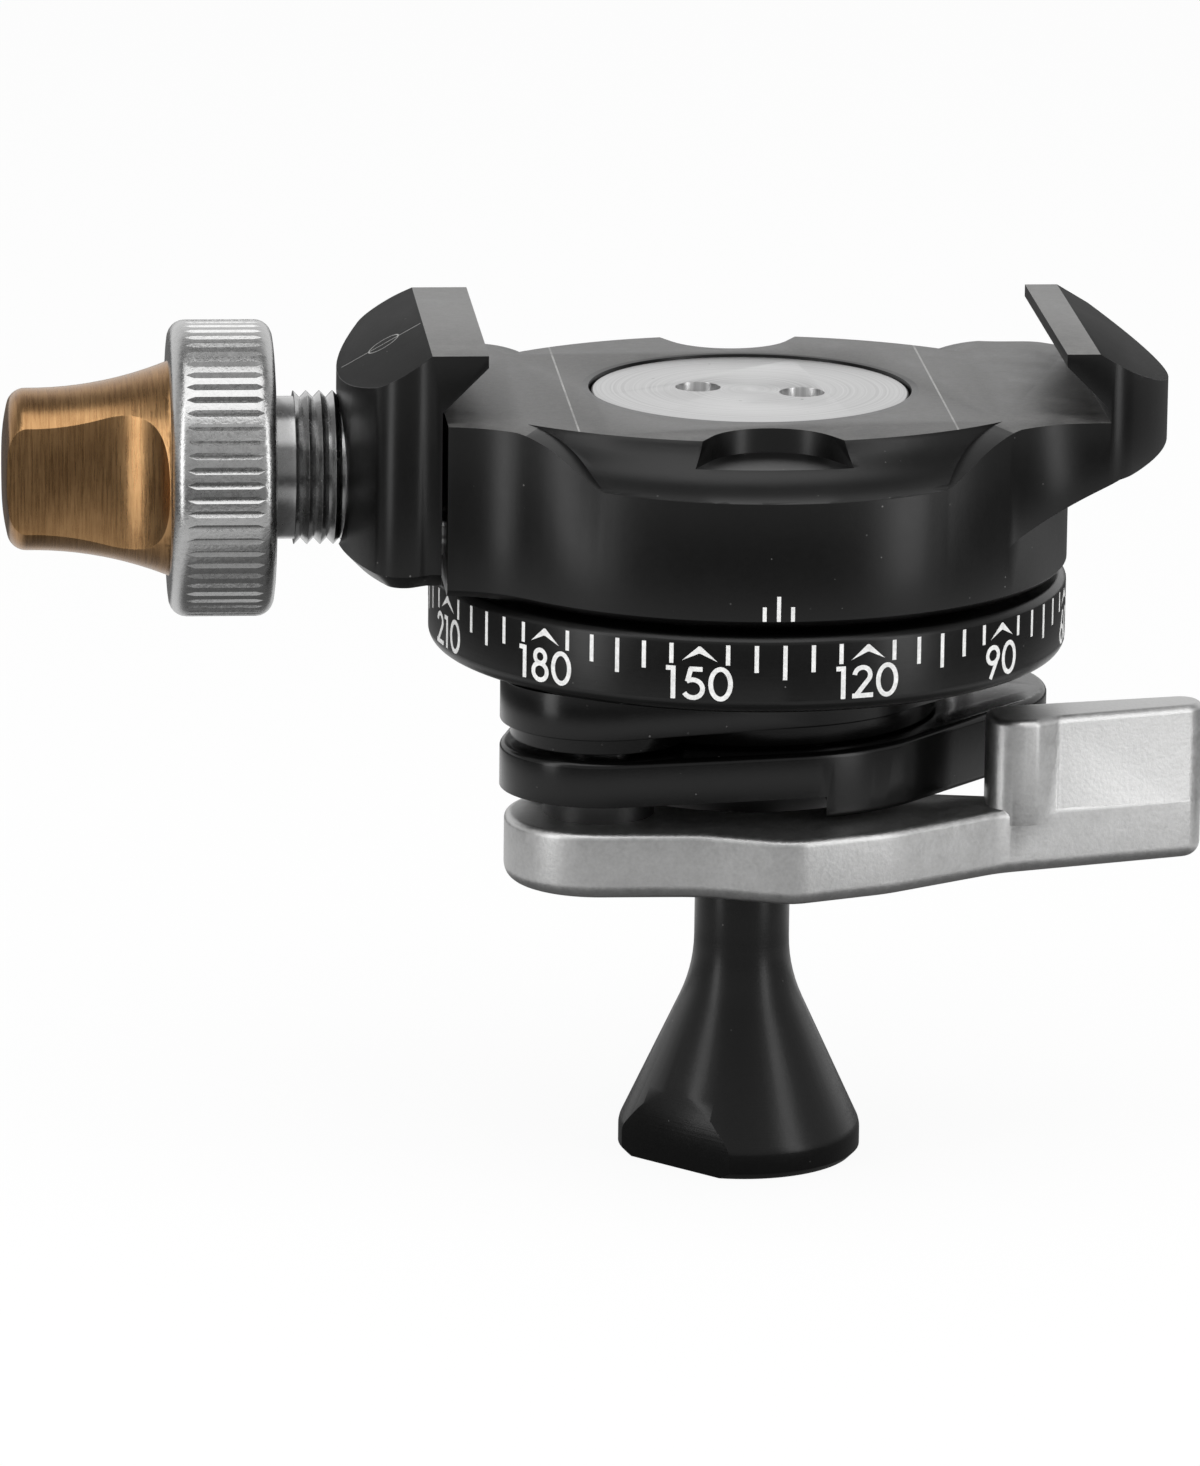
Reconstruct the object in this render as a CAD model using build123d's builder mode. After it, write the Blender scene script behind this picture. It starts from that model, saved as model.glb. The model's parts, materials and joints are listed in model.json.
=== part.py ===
"""Inverted ball head for a small tripod. A flared foot carries the ball on a thin neck. A housing grips
the ball between two seats, a lever closes its clamp plate, and a panning base with a screw clamp for
dovetail plates turns on top of it.

Millimetres. +Z runs up the neck, and +X runs from the clamp's knob towards its fixed jaw. The origin is
the centre of the foot's bottom face."""

from build123d import *
import os
from math import cos, radians, sin, sqrt, tan

os.makedirs("parts", exist_ok=True)

# --- Fits -------------------------------------------------------------------------------------------
running = 0.03              # radial play of a piece that turns or slides in another
seated = 0.02               # play between pieces that are fixed to each other
body_gap = 0.3              # space between moving pieces that pass each other

# --- Foot, neck and ball ----------------------------------------------------------------------------
foot_radius = 7.1
foot_edge = 0.4
foot_rim_height = 1.7
foot_rim_blend = 1.5
foot_cone_angle = 24.9      # degrees from the neck's axis
neck_radius = 2.78
neck_blend = 9.0
flats_across = 11.6         # wrench flats milled into the foot
flats_direction = 225.0     # degrees from +X
tripod_thread_radius = 3.175
tripod_thread_depth = 7.0
ball_radius = 9.0
ball_height = 28.5          # ball centre above the foot's bottom
spigot_radius = 2.0
spigot_length = 11.0
ball_screw_radius = 1.25
ball_screw_thread = 7.0
ball_screw_head_radius = 2.2
ball_screw_head_height = 1.6
ball_web = 4.0              # ball's wall between the neck's spigot and the screw's head

# --- Seats and housing ------------------------------------------------------------------------------
seat_wall = 0.84
seat_window_radius = 3.5
seat_start = 0.3            # seat's lower edge above the ball's centre
cavity_radius = ball_radius + seat_wall + 2 * running
hub_radius = 11.1
hub_gap = 0.15              # hub's skirt above the clamp plate
flange_hub_radius = 11.3
flange_drop = 0.3           # flange's bottom under the ball's centre
flange_thickness = 2.6
dial_inset = 0.55           # dial's rim inside the clamp channel's half width
dial_wall = 4.5
dial_height = 4.5
dial_edge = 0.35
dial_bottom_blend = 0.8
lower_journal_radius = 8.6
lower_journal_height = 4.2
spindle_radius = 6.0
spindle_height = 4.25

# --- Lobes: lever pivot at the front left, fulcrum at the back right -------------------------------
pivot_x = -9.2
pivot_y = -8.3
fulcrum_x = 11.6
fulcrum_y = 5.6
pivot_lobe_radius = 5.7
fulcrum_lobe_x = 10.6
fulcrum_lobe_y = 4.6
flange_fulcrum_lobe_radius = 6.7
plate_fulcrum_lobe_radius = 7.6
plate_hub_radius = 12.4
lobe_boss_radius = 5.1

# --- Clamp plate and lever --------------------------------------------------------------------------
plate_gap = 1.26            # between the flange and the clamp plate
plate_thickness = 3.94
plate_edge = 0.4
plate_recess_radius = 13.3
plate_recess_depth = 1.3
lower_seat_height = 1.6
lower_seat_radius = 9.9
lever_thickness = 3.9
lever_inner_radius = 9.0
lever_tab_height = 9.2      # tab's top above the lever's bottom
lever_blend = 0.9
lever_swing = 55.0          # degrees, from locked to open
lever_bolt_radius = 1.5
lever_bolt_head_radius = 2.8
lever_bolt_head_height = 1.9
lever_washer_radius = 3.2
fulcrum_screw_radius = 1.25
fulcrum_head_radius = 2.4
fulcrum_head_height = 1.3
fulcrum_spacer_radius = 2.3
return_spring_radius = 2.3
return_spring_wall = 0.5
return_spring_pocket = 1.5

# --- Panning base -----------------------------------------------------------------------------------
pan_gap = 0.5               # dark line between the dial ring and the clamp's body
body_height = 9.9
pan_bearing_height = 1.0
pan_bearing_inset = 5.55    # bearing's rim inside the channel's half width
pan_bearing_bore = 9.4
pan_cap_radius = 9.2
pan_cap_boss_radius = 4.5
pan_cap_boss_length = 3.0
pan_cap_recess = 0.1        # cap's top under the plate's top
pan_cap_play = 0.15
pan_washer_thickness = 0.3
pan_spring_thickness = 0.25
spanner_hole_radius = 1.3
spanner_hole_depth = 1.2
spanner_hole_spacing = 6.1
spanner_hole_turn = -15.4   # degrees from +X

# --- Dovetail clamp ---------------------------------------------------------------------------------
channel_width = 38.1        # between the two jaws' roots, for 38 mm dovetail plates
channel_shift = 0.65        # channel's middle, from the pan axis towards the fixed jaw
fixed_jaw_length = 4.5      # from the jaw's root to its outer end
movable_jaw_length = 5.5
dovetail_run = 2.6          # 45 degree faces of the jaws
dovetail_relief = 0.7
jaw_land = 0.7
jaw_strip_width = 1.9       # flat top of the fixed jaw
movable_strip_width = 3.2   # flat top of the movable jaw
jaw_slope = 0.6             # fall of the jaws' outer tops, per millimetre outwards
fixed_end_radius = 16.0     # plan curves of the jaws' outer ends
movable_end_radius = 26.0
bar_front = 10.2            # half widths of the bar that carries the fixed jaw
bar_back = 12.6
bar_blend = 7.0             # plan curve that leads the bar into the round body
jaw_half_width = 9.8        # at the flat tops
jaw_flare = 1.5             # movable jaw's end, wider than its flat top on each side
jaw_lift = 0.4              # movable jaw's foot above the body's bottom
arm_tip_thickness = 2.55    # at the fixed jaw's outer end
arm_tip_slope = 0.2         # rise of the arm's underside, per millimetre outwards
arm_slope = 0.51            # the same, under the jaw's root
arm_knee = 0.6              # knee between the two, outside the jaw's root
cove_radius = 5.0
cove_rise = 2.2             # cove's centre above the body's top
cove_edge_radius = 20.5     # plan curve of the cove's upper edge
cove_shift = 5.8            # that curve's centre, behind the pan axis
ramp_turn = 21.0            # degrees, the run-outs' direction in plan, inwards from the bar's
ramp_foot = 2.9             # where a run-out leaves the cove's floor, from the pan axis
ramp_drop = 3.1             # that floor under the body's top
ramp_slope = 0.67
ramp_lip = 0.05             # run-outs end this far above the body's top
ramp_foot_blend = 6.7
ramp_head_blend = 8.2
pocket_radius = 3.8
pocket_offset = 14.8
pocket_flare = 27.0         # degrees, each side of the pocket's mouth
pocket_depth = 1.4
body_edge = 0.4
end_blend = 1.8
jaw_foot_bevel = 0.8

# --- Knob -------------------------------------------------------------------------------------------
screw_rise = 5.35           # screw's axis above the clamp body's bottom
thread_radius = 4.45
thread_pitch = 0.76
thread_depth = 0.4
thread_stop = 1.2           # thread's inner end, from the body side of the jaw
thread_overhang = 2.5       # thread beyond the movable jaw's outer end
screw_neck_radius = 4.12
wheel_radius = 8.55
wheel_width = 6.0
wheel_blend = 1.2
wheel_clearance = 1.1       # between the open jaw and the wheel
jaw_travel = 2.62
shaft_radius = 2.5
shaft_reach = 5.8           # into the clamp's body
shaft_bore_end = 0.3
groove_depth_in_body = 3.4
groove_width = 1.6
groove_radius = 1.9
retaining_pin_radius = 0.75
retaining_pin_length = 7.2
guide_pin_radius = 1.25
guide_pin_offset = 6.0
guide_pin_drop = 2.55       # under the screw's axis
guide_pin_reach = 2.8       # into the movable jaw
guide_pin_root = 4.6        # into the clamp's body
stud_radius = 1.5
stud_length = 10.8
grip_length = 9.5
grip_end_radius = 4.7
grip_base_radius = 6.2
grip_waist_radius = 5.2
grip_waist_position = 3.2   # from the wheel
grip_flats_across = 7.0
grip_scoop_radius = 3.8
grip_scoop_position = 3.7   # from the wheel
grip_dome = 0.5
grip_end_blend = 1.1
drive_pin_radius = 0.75
drive_pin_offset = 3.4
drive_pin_length = 5.0

# --- Places that follow from the clamp's channel ------------------------------------------------------
channel_half = channel_width / 2
fixed_jaw_root = channel_half + channel_shift
dial_radius = channel_half - dial_inset
core_radius = dial_radius - dial_wall      # the step that carries the dial ring
pan_bearing_radius = channel_half - pan_bearing_inset

# --- Heights that follow from the values above ------------------------------------------------------
neck_top = ball_height - sqrt(ball_radius**2 - neck_radius**2)
spigot_top = neck_top + spigot_length
ball_counterbore = spigot_top + ball_web
flange_bottom = ball_height - flange_drop
flange_top = flange_bottom + flange_thickness
dial_top = flange_top + dial_height
journal_top = dial_top + lower_journal_height
spindle_top = journal_top + spindle_height
plate_top = flange_bottom - plate_gap
plate_bottom = plate_top - plate_thickness
recess_ceiling = plate_bottom + plate_recess_depth
hub_bottom = plate_top + hub_gap
boss_bottom = plate_top + body_gap
seat_ledge = plate_top - lower_seat_height
lever_top = plate_bottom - body_gap
lever_bottom = lever_top - lever_thickness
tab_top = lever_bottom + lever_tab_height
body_bottom = dial_top + pan_gap
body_top = body_bottom + body_height
jaw_bottom = body_bottom + jaw_lift
jaw_top = body_top + dovetail_relief + dovetail_run + jaw_land
ledge_bottom = journal_top + body_gap
ledge_top = spindle_top - pan_washer_thickness - pan_spring_thickness
cap_top = body_top - pan_cap_recess
bolt_top = flange_top - 0.4

# --- Places along the clamp's screw -----------------------------------------------------------------
screw_height = body_bottom + screw_rise
guide_pin_height = screw_height - guide_pin_drop
fixed_jaw_tip = fixed_jaw_root - dovetail_run
fixed_jaw_end = fixed_jaw_root + fixed_jaw_length
jaw_face = fixed_jaw_root - channel_width
body_face = jaw_face + body_gap
movable_jaw_tip = jaw_face + dovetail_run
movable_jaw_end = jaw_face - movable_jaw_length
thread_inner_end = jaw_face - thread_stop
thread_outer_end = movable_jaw_end - thread_overhang
wheel_inner_face = movable_jaw_end - jaw_travel - wheel_clearance
wheel_outer_face = wheel_inner_face - wheel_width
shaft_end = body_face + shaft_reach
groove_x = body_face + groove_depth_in_body

side_plane = Plane(origin=(0, 0, 0), x_dir=(1, 0, 0), z_dir=(0, -1, 0))
screw_plane = Plane(origin=(0, 0, screw_height), x_dir=(1, 0, 0), z_dir=(0, -1, 0))
screw_axis = Axis((0, 0, screw_height), (1, 0, 0))


def corner(shape, x, y):
    """The vertex of a sketch that lies nearest to a point."""
    return shape.vertices().sort_by_distance((x, y, 0))[0]


def lobed_outline(hub, pivot_lobe, fulcrum_lobe):
    """A hub with a lobe for the lever and a lobe for the fulcrum, wrapped in one tight outline."""
    Circle(hub)
    with Locations((pivot_x, pivot_y)):
        Circle(pivot_lobe)
    with Locations((fulcrum_lobe_x, fulcrum_lobe_y)):
        Circle(fulcrum_lobe)
    make_hull()


def finish(builder, name):
    """Labels a finished piece and writes it."""
    builder.part.label = name
    export_step(builder.part, f"parts/{name}.step")


# --- Foot with its neck and the spigot that carries the ball ----------------------------------------
cone_top = foot_rim_height + (foot_radius - neck_radius) / tan(radians(foot_cone_angle))
with BuildPart() as foot_stem:
    with BuildSketch(side_plane) as foot_profile:
        with BuildLine():
            Polyline(
                (0, 0),
                (foot_radius, 0),
                (foot_radius, foot_rim_height),
                (neck_radius, cone_top),
                (neck_radius, neck_top),
                (spigot_radius, neck_top),
                (spigot_radius, spigot_top),
                (0, spigot_top),
                close=True,
            )
        make_face()
        fillet(corner(foot_profile, neck_radius, cone_top), radius=neck_blend)
        fillet(corner(foot_profile, foot_radius, foot_rim_height), radius=foot_rim_blend)
        chamfer(corner(foot_profile, foot_radius, 0), length=foot_edge)
    revolve(axis=Axis.Z)
    with BuildSketch():
        Circle(tripod_thread_radius)
    extrude(amount=tripod_thread_depth, mode=Mode.SUBTRACT)
    with BuildSketch(Plane.XY.offset(spigot_top)):
        Circle(ball_screw_radius + seated)
    extrude(amount=-ball_screw_thread, mode=Mode.SUBTRACT)
    for turn in (flats_direction, flats_direction + 180):
        outwards = (cos(radians(turn)), sin(radians(turn)), 0)
        flat_plane = Plane(origin=(0, 0, 0), z_dir=outwards)
        with BuildSketch(flat_plane.offset(flats_across / 2)):
            Rectangle(2 * foot_radius, 2 * foot_radius)
        extrude(amount=foot_radius, mode=Mode.SUBTRACT)
finish(foot_stem, "foot_stem")

# --- Ball, which turns on the neck's spigot ---------------------------------------------------------
with BuildPart() as ball:
    with Locations((0, 0, ball_height)):
        Sphere(ball_radius)
    split(bisect_by=Plane.XY.offset(neck_top + running), keep=Keep.TOP)
    with BuildSketch(Plane.XY.offset(neck_top)):
        Circle(spigot_radius + running)
    extrude(amount=spigot_length + running, mode=Mode.SUBTRACT)
    with BuildSketch(Plane.XY.offset(spigot_top)):
        Circle(ball_screw_radius + running)
    extrude(amount=ball_web, mode=Mode.SUBTRACT)
    with BuildSketch(Plane.XY.offset(ball_counterbore)):
        Circle(ball_screw_head_radius + running)
    extrude(amount=ball_radius, mode=Mode.SUBTRACT)
finish(ball, "ball")

with BuildPart() as ball_retaining_screw:
    with BuildSketch(Plane.XY.offset(ball_counterbore + running)):
        Circle(ball_screw_head_radius)
    extrude(amount=ball_screw_head_height)
    with BuildSketch(Plane.XY.offset(ball_counterbore + running)):
        Circle(ball_screw_radius)
    extrude(amount=-(ball_web + ball_screw_thread - body_gap))
    chamfer(ball_retaining_screw.faces().sort_by(Axis.Z)[-1].edges(), length=body_gap)
finish(ball_retaining_screw, "ball_retaining_screw")

# --- Upper ball seat: a spherical liner in the housing ----------------------------------------------
with BuildPart() as upper_ball_seat:
    with Locations((0, 0, ball_height)):
        Sphere(cavity_radius - running)
        Sphere(ball_radius + running, mode=Mode.SUBTRACT)
    split(bisect_by=Plane.XY.offset(ball_height + seat_start), keep=Keep.TOP)
    with BuildSketch(Plane.XY.offset(ball_height)):
        Circle(seat_window_radius)
    extrude(amount=2 * ball_radius, mode=Mode.SUBTRACT)
finish(upper_ball_seat, "upper_ball_seat")

# --- Housing: hub, lobed flange, dial seat and pan spindle ------------------------------------------
with BuildPart() as housing:
    with BuildSketch(side_plane):
        with BuildLine():
            Polyline(
                (0, hub_bottom),
                (hub_radius, hub_bottom),
                (hub_radius, flange_top),
                (core_radius, flange_top),
                (core_radius, dial_top),
                (lower_journal_radius, dial_top),
                (lower_journal_radius, journal_top),
                (spindle_radius, journal_top),
                (spindle_radius, spindle_top),
                (0, spindle_top),
                close=True,
            )
        make_face()
    revolve(axis=Axis.Z)
    with BuildSketch(Plane.XY.offset(flange_bottom)):
        lobed_outline(flange_hub_radius, pivot_lobe_radius, flange_fulcrum_lobe_radius)
    extrude(amount=flange_thickness)
    with BuildSketch(Plane.XY.offset(boss_bottom)):
        with Locations((pivot_x, pivot_y)):
            Circle(lobe_boss_radius)
    extrude(amount=flange_bottom - boss_bottom)
    with Locations((0, 0, ball_height)):
        Sphere(cavity_radius, mode=Mode.SUBTRACT)
    with BuildSketch(Plane.XY.offset(hub_bottom)):
        Circle(cavity_radius)
    extrude(amount=ball_height - hub_bottom, mode=Mode.SUBTRACT)
    with BuildSketch(Plane.XY.offset(spindle_top)):
        Circle(pan_cap_boss_radius + seated)
    extrude(amount=-(pan_cap_boss_length + body_gap), mode=Mode.SUBTRACT)
    with BuildSketch(Plane.XY.offset(hub_bottom)):
        with Locations((pivot_x, pivot_y)):
            Circle(lever_bolt_radius + running)
        with Locations((fulcrum_x, fulcrum_y)):
            Circle(fulcrum_screw_radius + seated)
    extrude(amount=bolt_top + seated - hub_bottom, mode=Mode.SUBTRACT)
    with BuildSketch(Plane.XY.offset(hub_bottom)):
        with Locations((fulcrum_x, fulcrum_y)):
            Circle(fulcrum_spacer_radius + seated)
    extrude(amount=flange_bottom - hub_bottom, mode=Mode.SUBTRACT)
    with BuildSketch(Plane.XY.offset(hub_bottom)):
        with Locations((pivot_x, pivot_y)):
            Circle(return_spring_radius + seated)
    extrude(amount=return_spring_pocket, mode=Mode.SUBTRACT)
finish(housing, "housing")

# --- Dial ring pressed on the housing's step --------------------------------------------------------
with BuildPart() as dial_ring:
    with BuildSketch(Plane.XY.offset(flange_top)):
        Circle(dial_radius)
        Circle(core_radius + seated, mode=Mode.SUBTRACT)
    extrude(amount=dial_height)
    outer_rims = dial_ring.edges().filter_by(GeomType.CIRCLE).sort_by(SortBy.RADIUS)[-2:].sort_by(Axis.Z)
    fillet(outer_rims[0], radius=dial_bottom_blend)
    chamfer(outer_rims[1], length=dial_edge)
finish(dial_ring, "dial_ring")

# --- Plate return spring round the lever's bolt -----------------------------------------------------
with BuildPart() as plate_return_spring:
    with BuildSketch(Plane.XY.offset(plate_top + running)):
        with Locations((pivot_x, pivot_y)):
            Circle(return_spring_radius)
            Circle(return_spring_radius - return_spring_wall, mode=Mode.SUBTRACT)
    extrude(amount=hub_bottom + return_spring_pocket - plate_top - 2 * running)
finish(plate_return_spring, "plate_return_spring")

# --- Fulcrum screw and its spacer: the plate rocks on them ------------------------------------------
fulcrum_head_bottom = plate_bottom + body_gap
with BuildPart() as fulcrum_screw:
    with BuildSketch(Plane.XY.offset(fulcrum_head_bottom)):
        with Locations((fulcrum_x, fulcrum_y)):
            Circle(fulcrum_head_radius)
    extrude(amount=fulcrum_head_height)
    with BuildSketch(Plane.XY.offset(fulcrum_head_bottom)):
        with Locations((fulcrum_x, fulcrum_y)):
            Circle(fulcrum_screw_radius)
    extrude(amount=bolt_top - fulcrum_head_bottom)
    with BuildSketch(Plane.XY.offset(fulcrum_head_bottom)):
        with Locations((fulcrum_x, fulcrum_y)):
            RegularPolygon(radius=fulcrum_screw_radius, side_count=6)
    extrude(amount=fulcrum_head_height / 2, mode=Mode.SUBTRACT)
finish(fulcrum_screw, "fulcrum_screw")

with BuildPart() as fulcrum_spacer:
    with BuildSketch(Plane.XY.offset(plate_top + 2 * running)):
        with Locations((fulcrum_x, fulcrum_y)):
            Circle(fulcrum_spacer_radius)
            Circle(fulcrum_screw_radius + running, mode=Mode.SUBTRACT)
    extrude(amount=flange_bottom - plate_top - 2 * running)
finish(fulcrum_spacer, "fulcrum_spacer")

# --- Clamp plate that carries the lower seat --------------------------------------------------------
with BuildPart() as clamp_plate:
    with BuildSketch(Plane.XY.offset(plate_bottom)):
        lobed_outline(plate_hub_radius, pivot_lobe_radius, plate_fulcrum_lobe_radius)
    extrude(amount=plate_thickness)
    fillet(clamp_plate.faces().sort_by(Axis.Z)[0].edges(), radius=plate_edge)
    fillet(clamp_plate.faces().sort_by(Axis.Z)[-1].edges(), radius=plate_edge)
    with BuildSketch(Plane.XY.offset(plate_bottom)):
        with Locations((pivot_x, pivot_y)):
            Circle(plate_recess_radius)
    extrude(amount=plate_recess_depth, mode=Mode.SUBTRACT)
    with Locations((0, 0, ball_height)):
        Sphere(ball_radius + body_gap, mode=Mode.SUBTRACT)
    with BuildSketch(Plane.XY.offset(seat_ledge)):
        Circle(lower_seat_radius + seated)
    extrude(amount=lower_seat_height, mode=Mode.SUBTRACT)
    with BuildSketch(Plane.XY.offset(plate_bottom)):
        with Locations((pivot_x, pivot_y)):
            Circle(lever_bolt_radius + body_gap)
        with Locations((fulcrum_x, fulcrum_y)):
            Circle(fulcrum_screw_radius + body_gap)
    extrude(amount=plate_thickness, mode=Mode.SUBTRACT)
    with BuildSketch(Plane.XY.offset(plate_bottom)):
        with Locations((fulcrum_x, fulcrum_y)):
            Circle(fulcrum_head_radius + body_gap)
    extrude(amount=fulcrum_head_height + 2 * body_gap, mode=Mode.SUBTRACT)
finish(clamp_plate, "clamp_plate")

with BuildPart() as lower_ball_seat:
    with BuildSketch(Plane.XY.offset(seat_ledge + seated)):
        Circle(lower_seat_radius)
    extrude(amount=lower_seat_height - 2 * seated)
    with Locations((0, 0, ball_height)):
        Sphere(ball_radius + running, mode=Mode.SUBTRACT)
finish(lower_ball_seat, "lower_ball_seat")

# --- Lever: arm, hooked round the neck, with a raised thumb tab -------------------------------------
lever_left = -14.6
lever_back = -2.9
lever_front = -13.75
lever_lobe_blend = 5.3
saddle_blend = 8.0
elbow_blend = 3.0
forearm_blend = 12.0
wrist_blend = 6.0
saddle = (-3.7, -13.9)
elbow = (1.3, -15.9)
forearm = (7.3, -13.6)
wrist = (14.2, -9.3)
tab_tip = (26.2, -5.6)
tab_heel = (26.2, -2.9)
tab_root = (13.3, -5.4)
nub_left = (13.3, -9.7)
nub_right = (16.1, -9.1)
valley = (17.4, -8.2)
clearance_steps = 4
with BuildPart() as lever_tab:
    with BuildSketch(Plane.XY.offset(lever_top - lever_blend)) as tab_plan:
        with BuildLine():
            Polyline(nub_left, nub_right, valley, tab_tip, tab_heel, tab_root, close=True)
        make_face()
        fillet(corner(tab_plan, *nub_left), radius=1.7)
        fillet(corner(tab_plan, *nub_right), radius=1.0)
        fillet(corner(tab_plan, *valley), radius=1.5)
        fillet(corner(tab_plan, *tab_tip), radius=1.3)
        fillet(corner(tab_plan, *tab_heel), radius=1.2)
        fillet(corner(tab_plan, *tab_root), radius=1.6)
    extrude(amount=tab_top - lever_top + lever_blend)
    fillet(lever_tab.faces().sort_by(Axis.Z)[-1].edges(), radius=lever_blend / 2)

with BuildPart() as lever:
    with BuildSketch(Plane.XY.offset(lever_bottom)) as lever_plan:
        with BuildLine():
            Polyline(
                (lever_left, lever_back),
                (lever_left, lever_front),
                saddle,
                elbow,
                forearm,
                wrist,
                tab_tip,
                tab_heel,
                tab_root,
                (0, lever_back),
                close=True,
            )
        make_face()
        fillet(corner(lever_plan, lever_left, lever_back), radius=lever_lobe_blend)
        fillet(corner(lever_plan, lever_left, lever_front), radius=lever_lobe_blend)
        fillet(corner(lever_plan, *saddle), radius=saddle_blend)
        fillet(corner(lever_plan, *elbow), radius=elbow_blend)
        fillet(corner(lever_plan, *forearm), radius=forearm_blend)
        fillet(corner(lever_plan, *wrist), radius=wrist_blend)
        fillet(corner(lever_plan, *tab_tip), radius=1.3)
        fillet(corner(lever_plan, *tab_heel), radius=1.2)
    extrude(amount=lever_thickness)
    fillet(lever.faces().sort_by(Axis.Z)[0].edges(), radius=lever_blend)
    fillet(lever.faces().sort_by(Axis.Z)[-1].edges(), radius=lever_blend / 2)
    add(lever_tab.part)
    # the arm clears the tilted neck all through the lever's swing
    with BuildSketch(Plane.XY.offset(lever_bottom)):
        for step in range(clearance_steps):
            swing = radians(lever_swing * step / (clearance_steps - 1))
            shift_x = pivot_x - pivot_x * cos(swing) + pivot_y * sin(swing)
            shift_y = pivot_y - pivot_x * sin(swing) - pivot_y * cos(swing)
            with Locations((shift_x, shift_y)):
                Circle(lever_inner_radius)
    extrude(amount=lever_thickness, mode=Mode.SUBTRACT)
    with BuildSketch(Plane.XY.offset(lever_bottom)):
        with Locations((pivot_x, pivot_y)):
            Circle(lever_bolt_radius + seated)
    extrude(amount=lever_thickness, mode=Mode.SUBTRACT)
    with BuildSketch(Plane.XY.offset(lever_bottom)):
        with Locations((pivot_x, pivot_y)):
            Circle(lever_bolt_head_radius + seated)
    extrude(amount=lever_bolt_head_height + seated, mode=Mode.SUBTRACT)
finish(lever, "lever")

with BuildPart() as lever_bolt:
    with BuildSketch(Plane.XY.offset(lever_bottom)):
        with Locations((pivot_x, pivot_y)):
            Circle(lever_bolt_head_radius)
    extrude(amount=lever_bolt_head_height)
    with BuildSketch(Plane.XY.offset(lever_bottom)):
        with Locations((pivot_x, pivot_y)):
            Circle(lever_bolt_radius)
    extrude(amount=bolt_top - lever_bottom)
    with BuildSketch(Plane.XY.offset(lever_bottom)):
        with Locations((pivot_x, pivot_y)):
            RegularPolygon(radius=lever_bolt_radius, side_count=6)
    extrude(amount=lever_bolt_head_height / 2, mode=Mode.SUBTRACT)
finish(lever_bolt, "lever_bolt")

with BuildPart() as lever_washer:
    with BuildSketch(Plane.XY.offset(lever_top)):
        with Locations((pivot_x, pivot_y)):
            Circle(lever_washer_radius)
            Circle(lever_bolt_radius + seated, mode=Mode.SUBTRACT)
    extrude(amount=recess_ceiling - body_gap - lever_top)
finish(lever_washer, "lever_washer")

# --- Pan bearing, thrust washer, wave spring and cap ------------------------------------------------
with BuildPart() as pan_bearing_ring:
    with BuildSketch(Plane.XY.offset(dial_top)):
        Circle(pan_bearing_radius)
        Circle(pan_bearing_bore, mode=Mode.SUBTRACT)
    extrude(amount=pan_bearing_height)
finish(pan_bearing_ring, "pan_bearing_ring")

with BuildPart() as pan_thrust_washer:
    with BuildSketch(Plane.XY.offset(ledge_top)):
        Circle(pan_cap_radius - pan_cap_play)
        Circle(spindle_radius + pan_cap_play, mode=Mode.SUBTRACT)
    extrude(amount=pan_washer_thickness)
finish(pan_thrust_washer, "pan_thrust_washer")

with BuildPart() as pan_wave_spring:
    with BuildSketch(Plane.XY.offset(ledge_top + pan_washer_thickness)):
        Circle(pan_cap_radius - pan_cap_play)
        Circle(spindle_radius + pan_cap_play, mode=Mode.SUBTRACT)
    extrude(amount=pan_spring_thickness - running)
finish(pan_wave_spring, "pan_wave_spring")

with BuildPart() as pan_cap:
    with BuildSketch(Plane.XY.offset(spindle_top)):
        Circle(pan_cap_radius)
    extrude(amount=cap_top - spindle_top)
    chamfer(pan_cap.faces().sort_by(Axis.Z)[-1].edges(), length=pan_cap_play)
    with BuildSketch(Plane.XY.offset(spindle_top)):
        Circle(pan_cap_boss_radius)
    extrude(amount=-pan_cap_boss_length)
    with BuildSketch(Plane.XY.offset(cap_top)):
        with PolarLocations(spanner_hole_spacing / 2, 2, start_angle=spanner_hole_turn):
            Circle(spanner_hole_radius)
    extrude(amount=-spanner_hole_depth, mode=Mode.SUBTRACT)
finish(pan_cap, "pan_cap")

# --- Clamp body: a round body run into a bar, with coves and the fixed jaw ---------------------------
end_centre = fixed_jaw_end - fixed_end_radius
front_corner = end_centre + sqrt(fixed_end_radius**2 - bar_front**2)
back_corner = end_centre + sqrt(fixed_end_radius**2 - bar_back**2)
bar_start = -(dial_radius + bar_blend)
front_joint = sqrt(dial_radius**2 - bar_front**2)
back_joint = sqrt(dial_radius**2 - bar_back**2)
with BuildPart() as round_body:
    with BuildSketch(Plane.XY.offset(body_bottom)) as body_plan:
        Circle(dial_radius)
        with BuildLine():
            Polyline(
                (front_corner, -bar_front),
                (bar_start, -bar_front),
                (bar_start, bar_back),
                (back_corner, bar_back),
            )
            ThreePointArc((back_corner, bar_back), (fixed_jaw_end, 0), (front_corner, -bar_front))
        make_face()
        for side in (-1, 1):
            fillet(corner(body_plan, side * front_joint, -bar_front), radius=bar_blend)
            fillet(corner(body_plan, side * back_joint, bar_back), radius=bar_blend)
        fillet(corner(body_plan, front_corner, -bar_front), radius=end_blend)
        fillet(corner(body_plan, back_corner, bar_back), radius=end_blend)
    extrude(amount=body_height)

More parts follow.
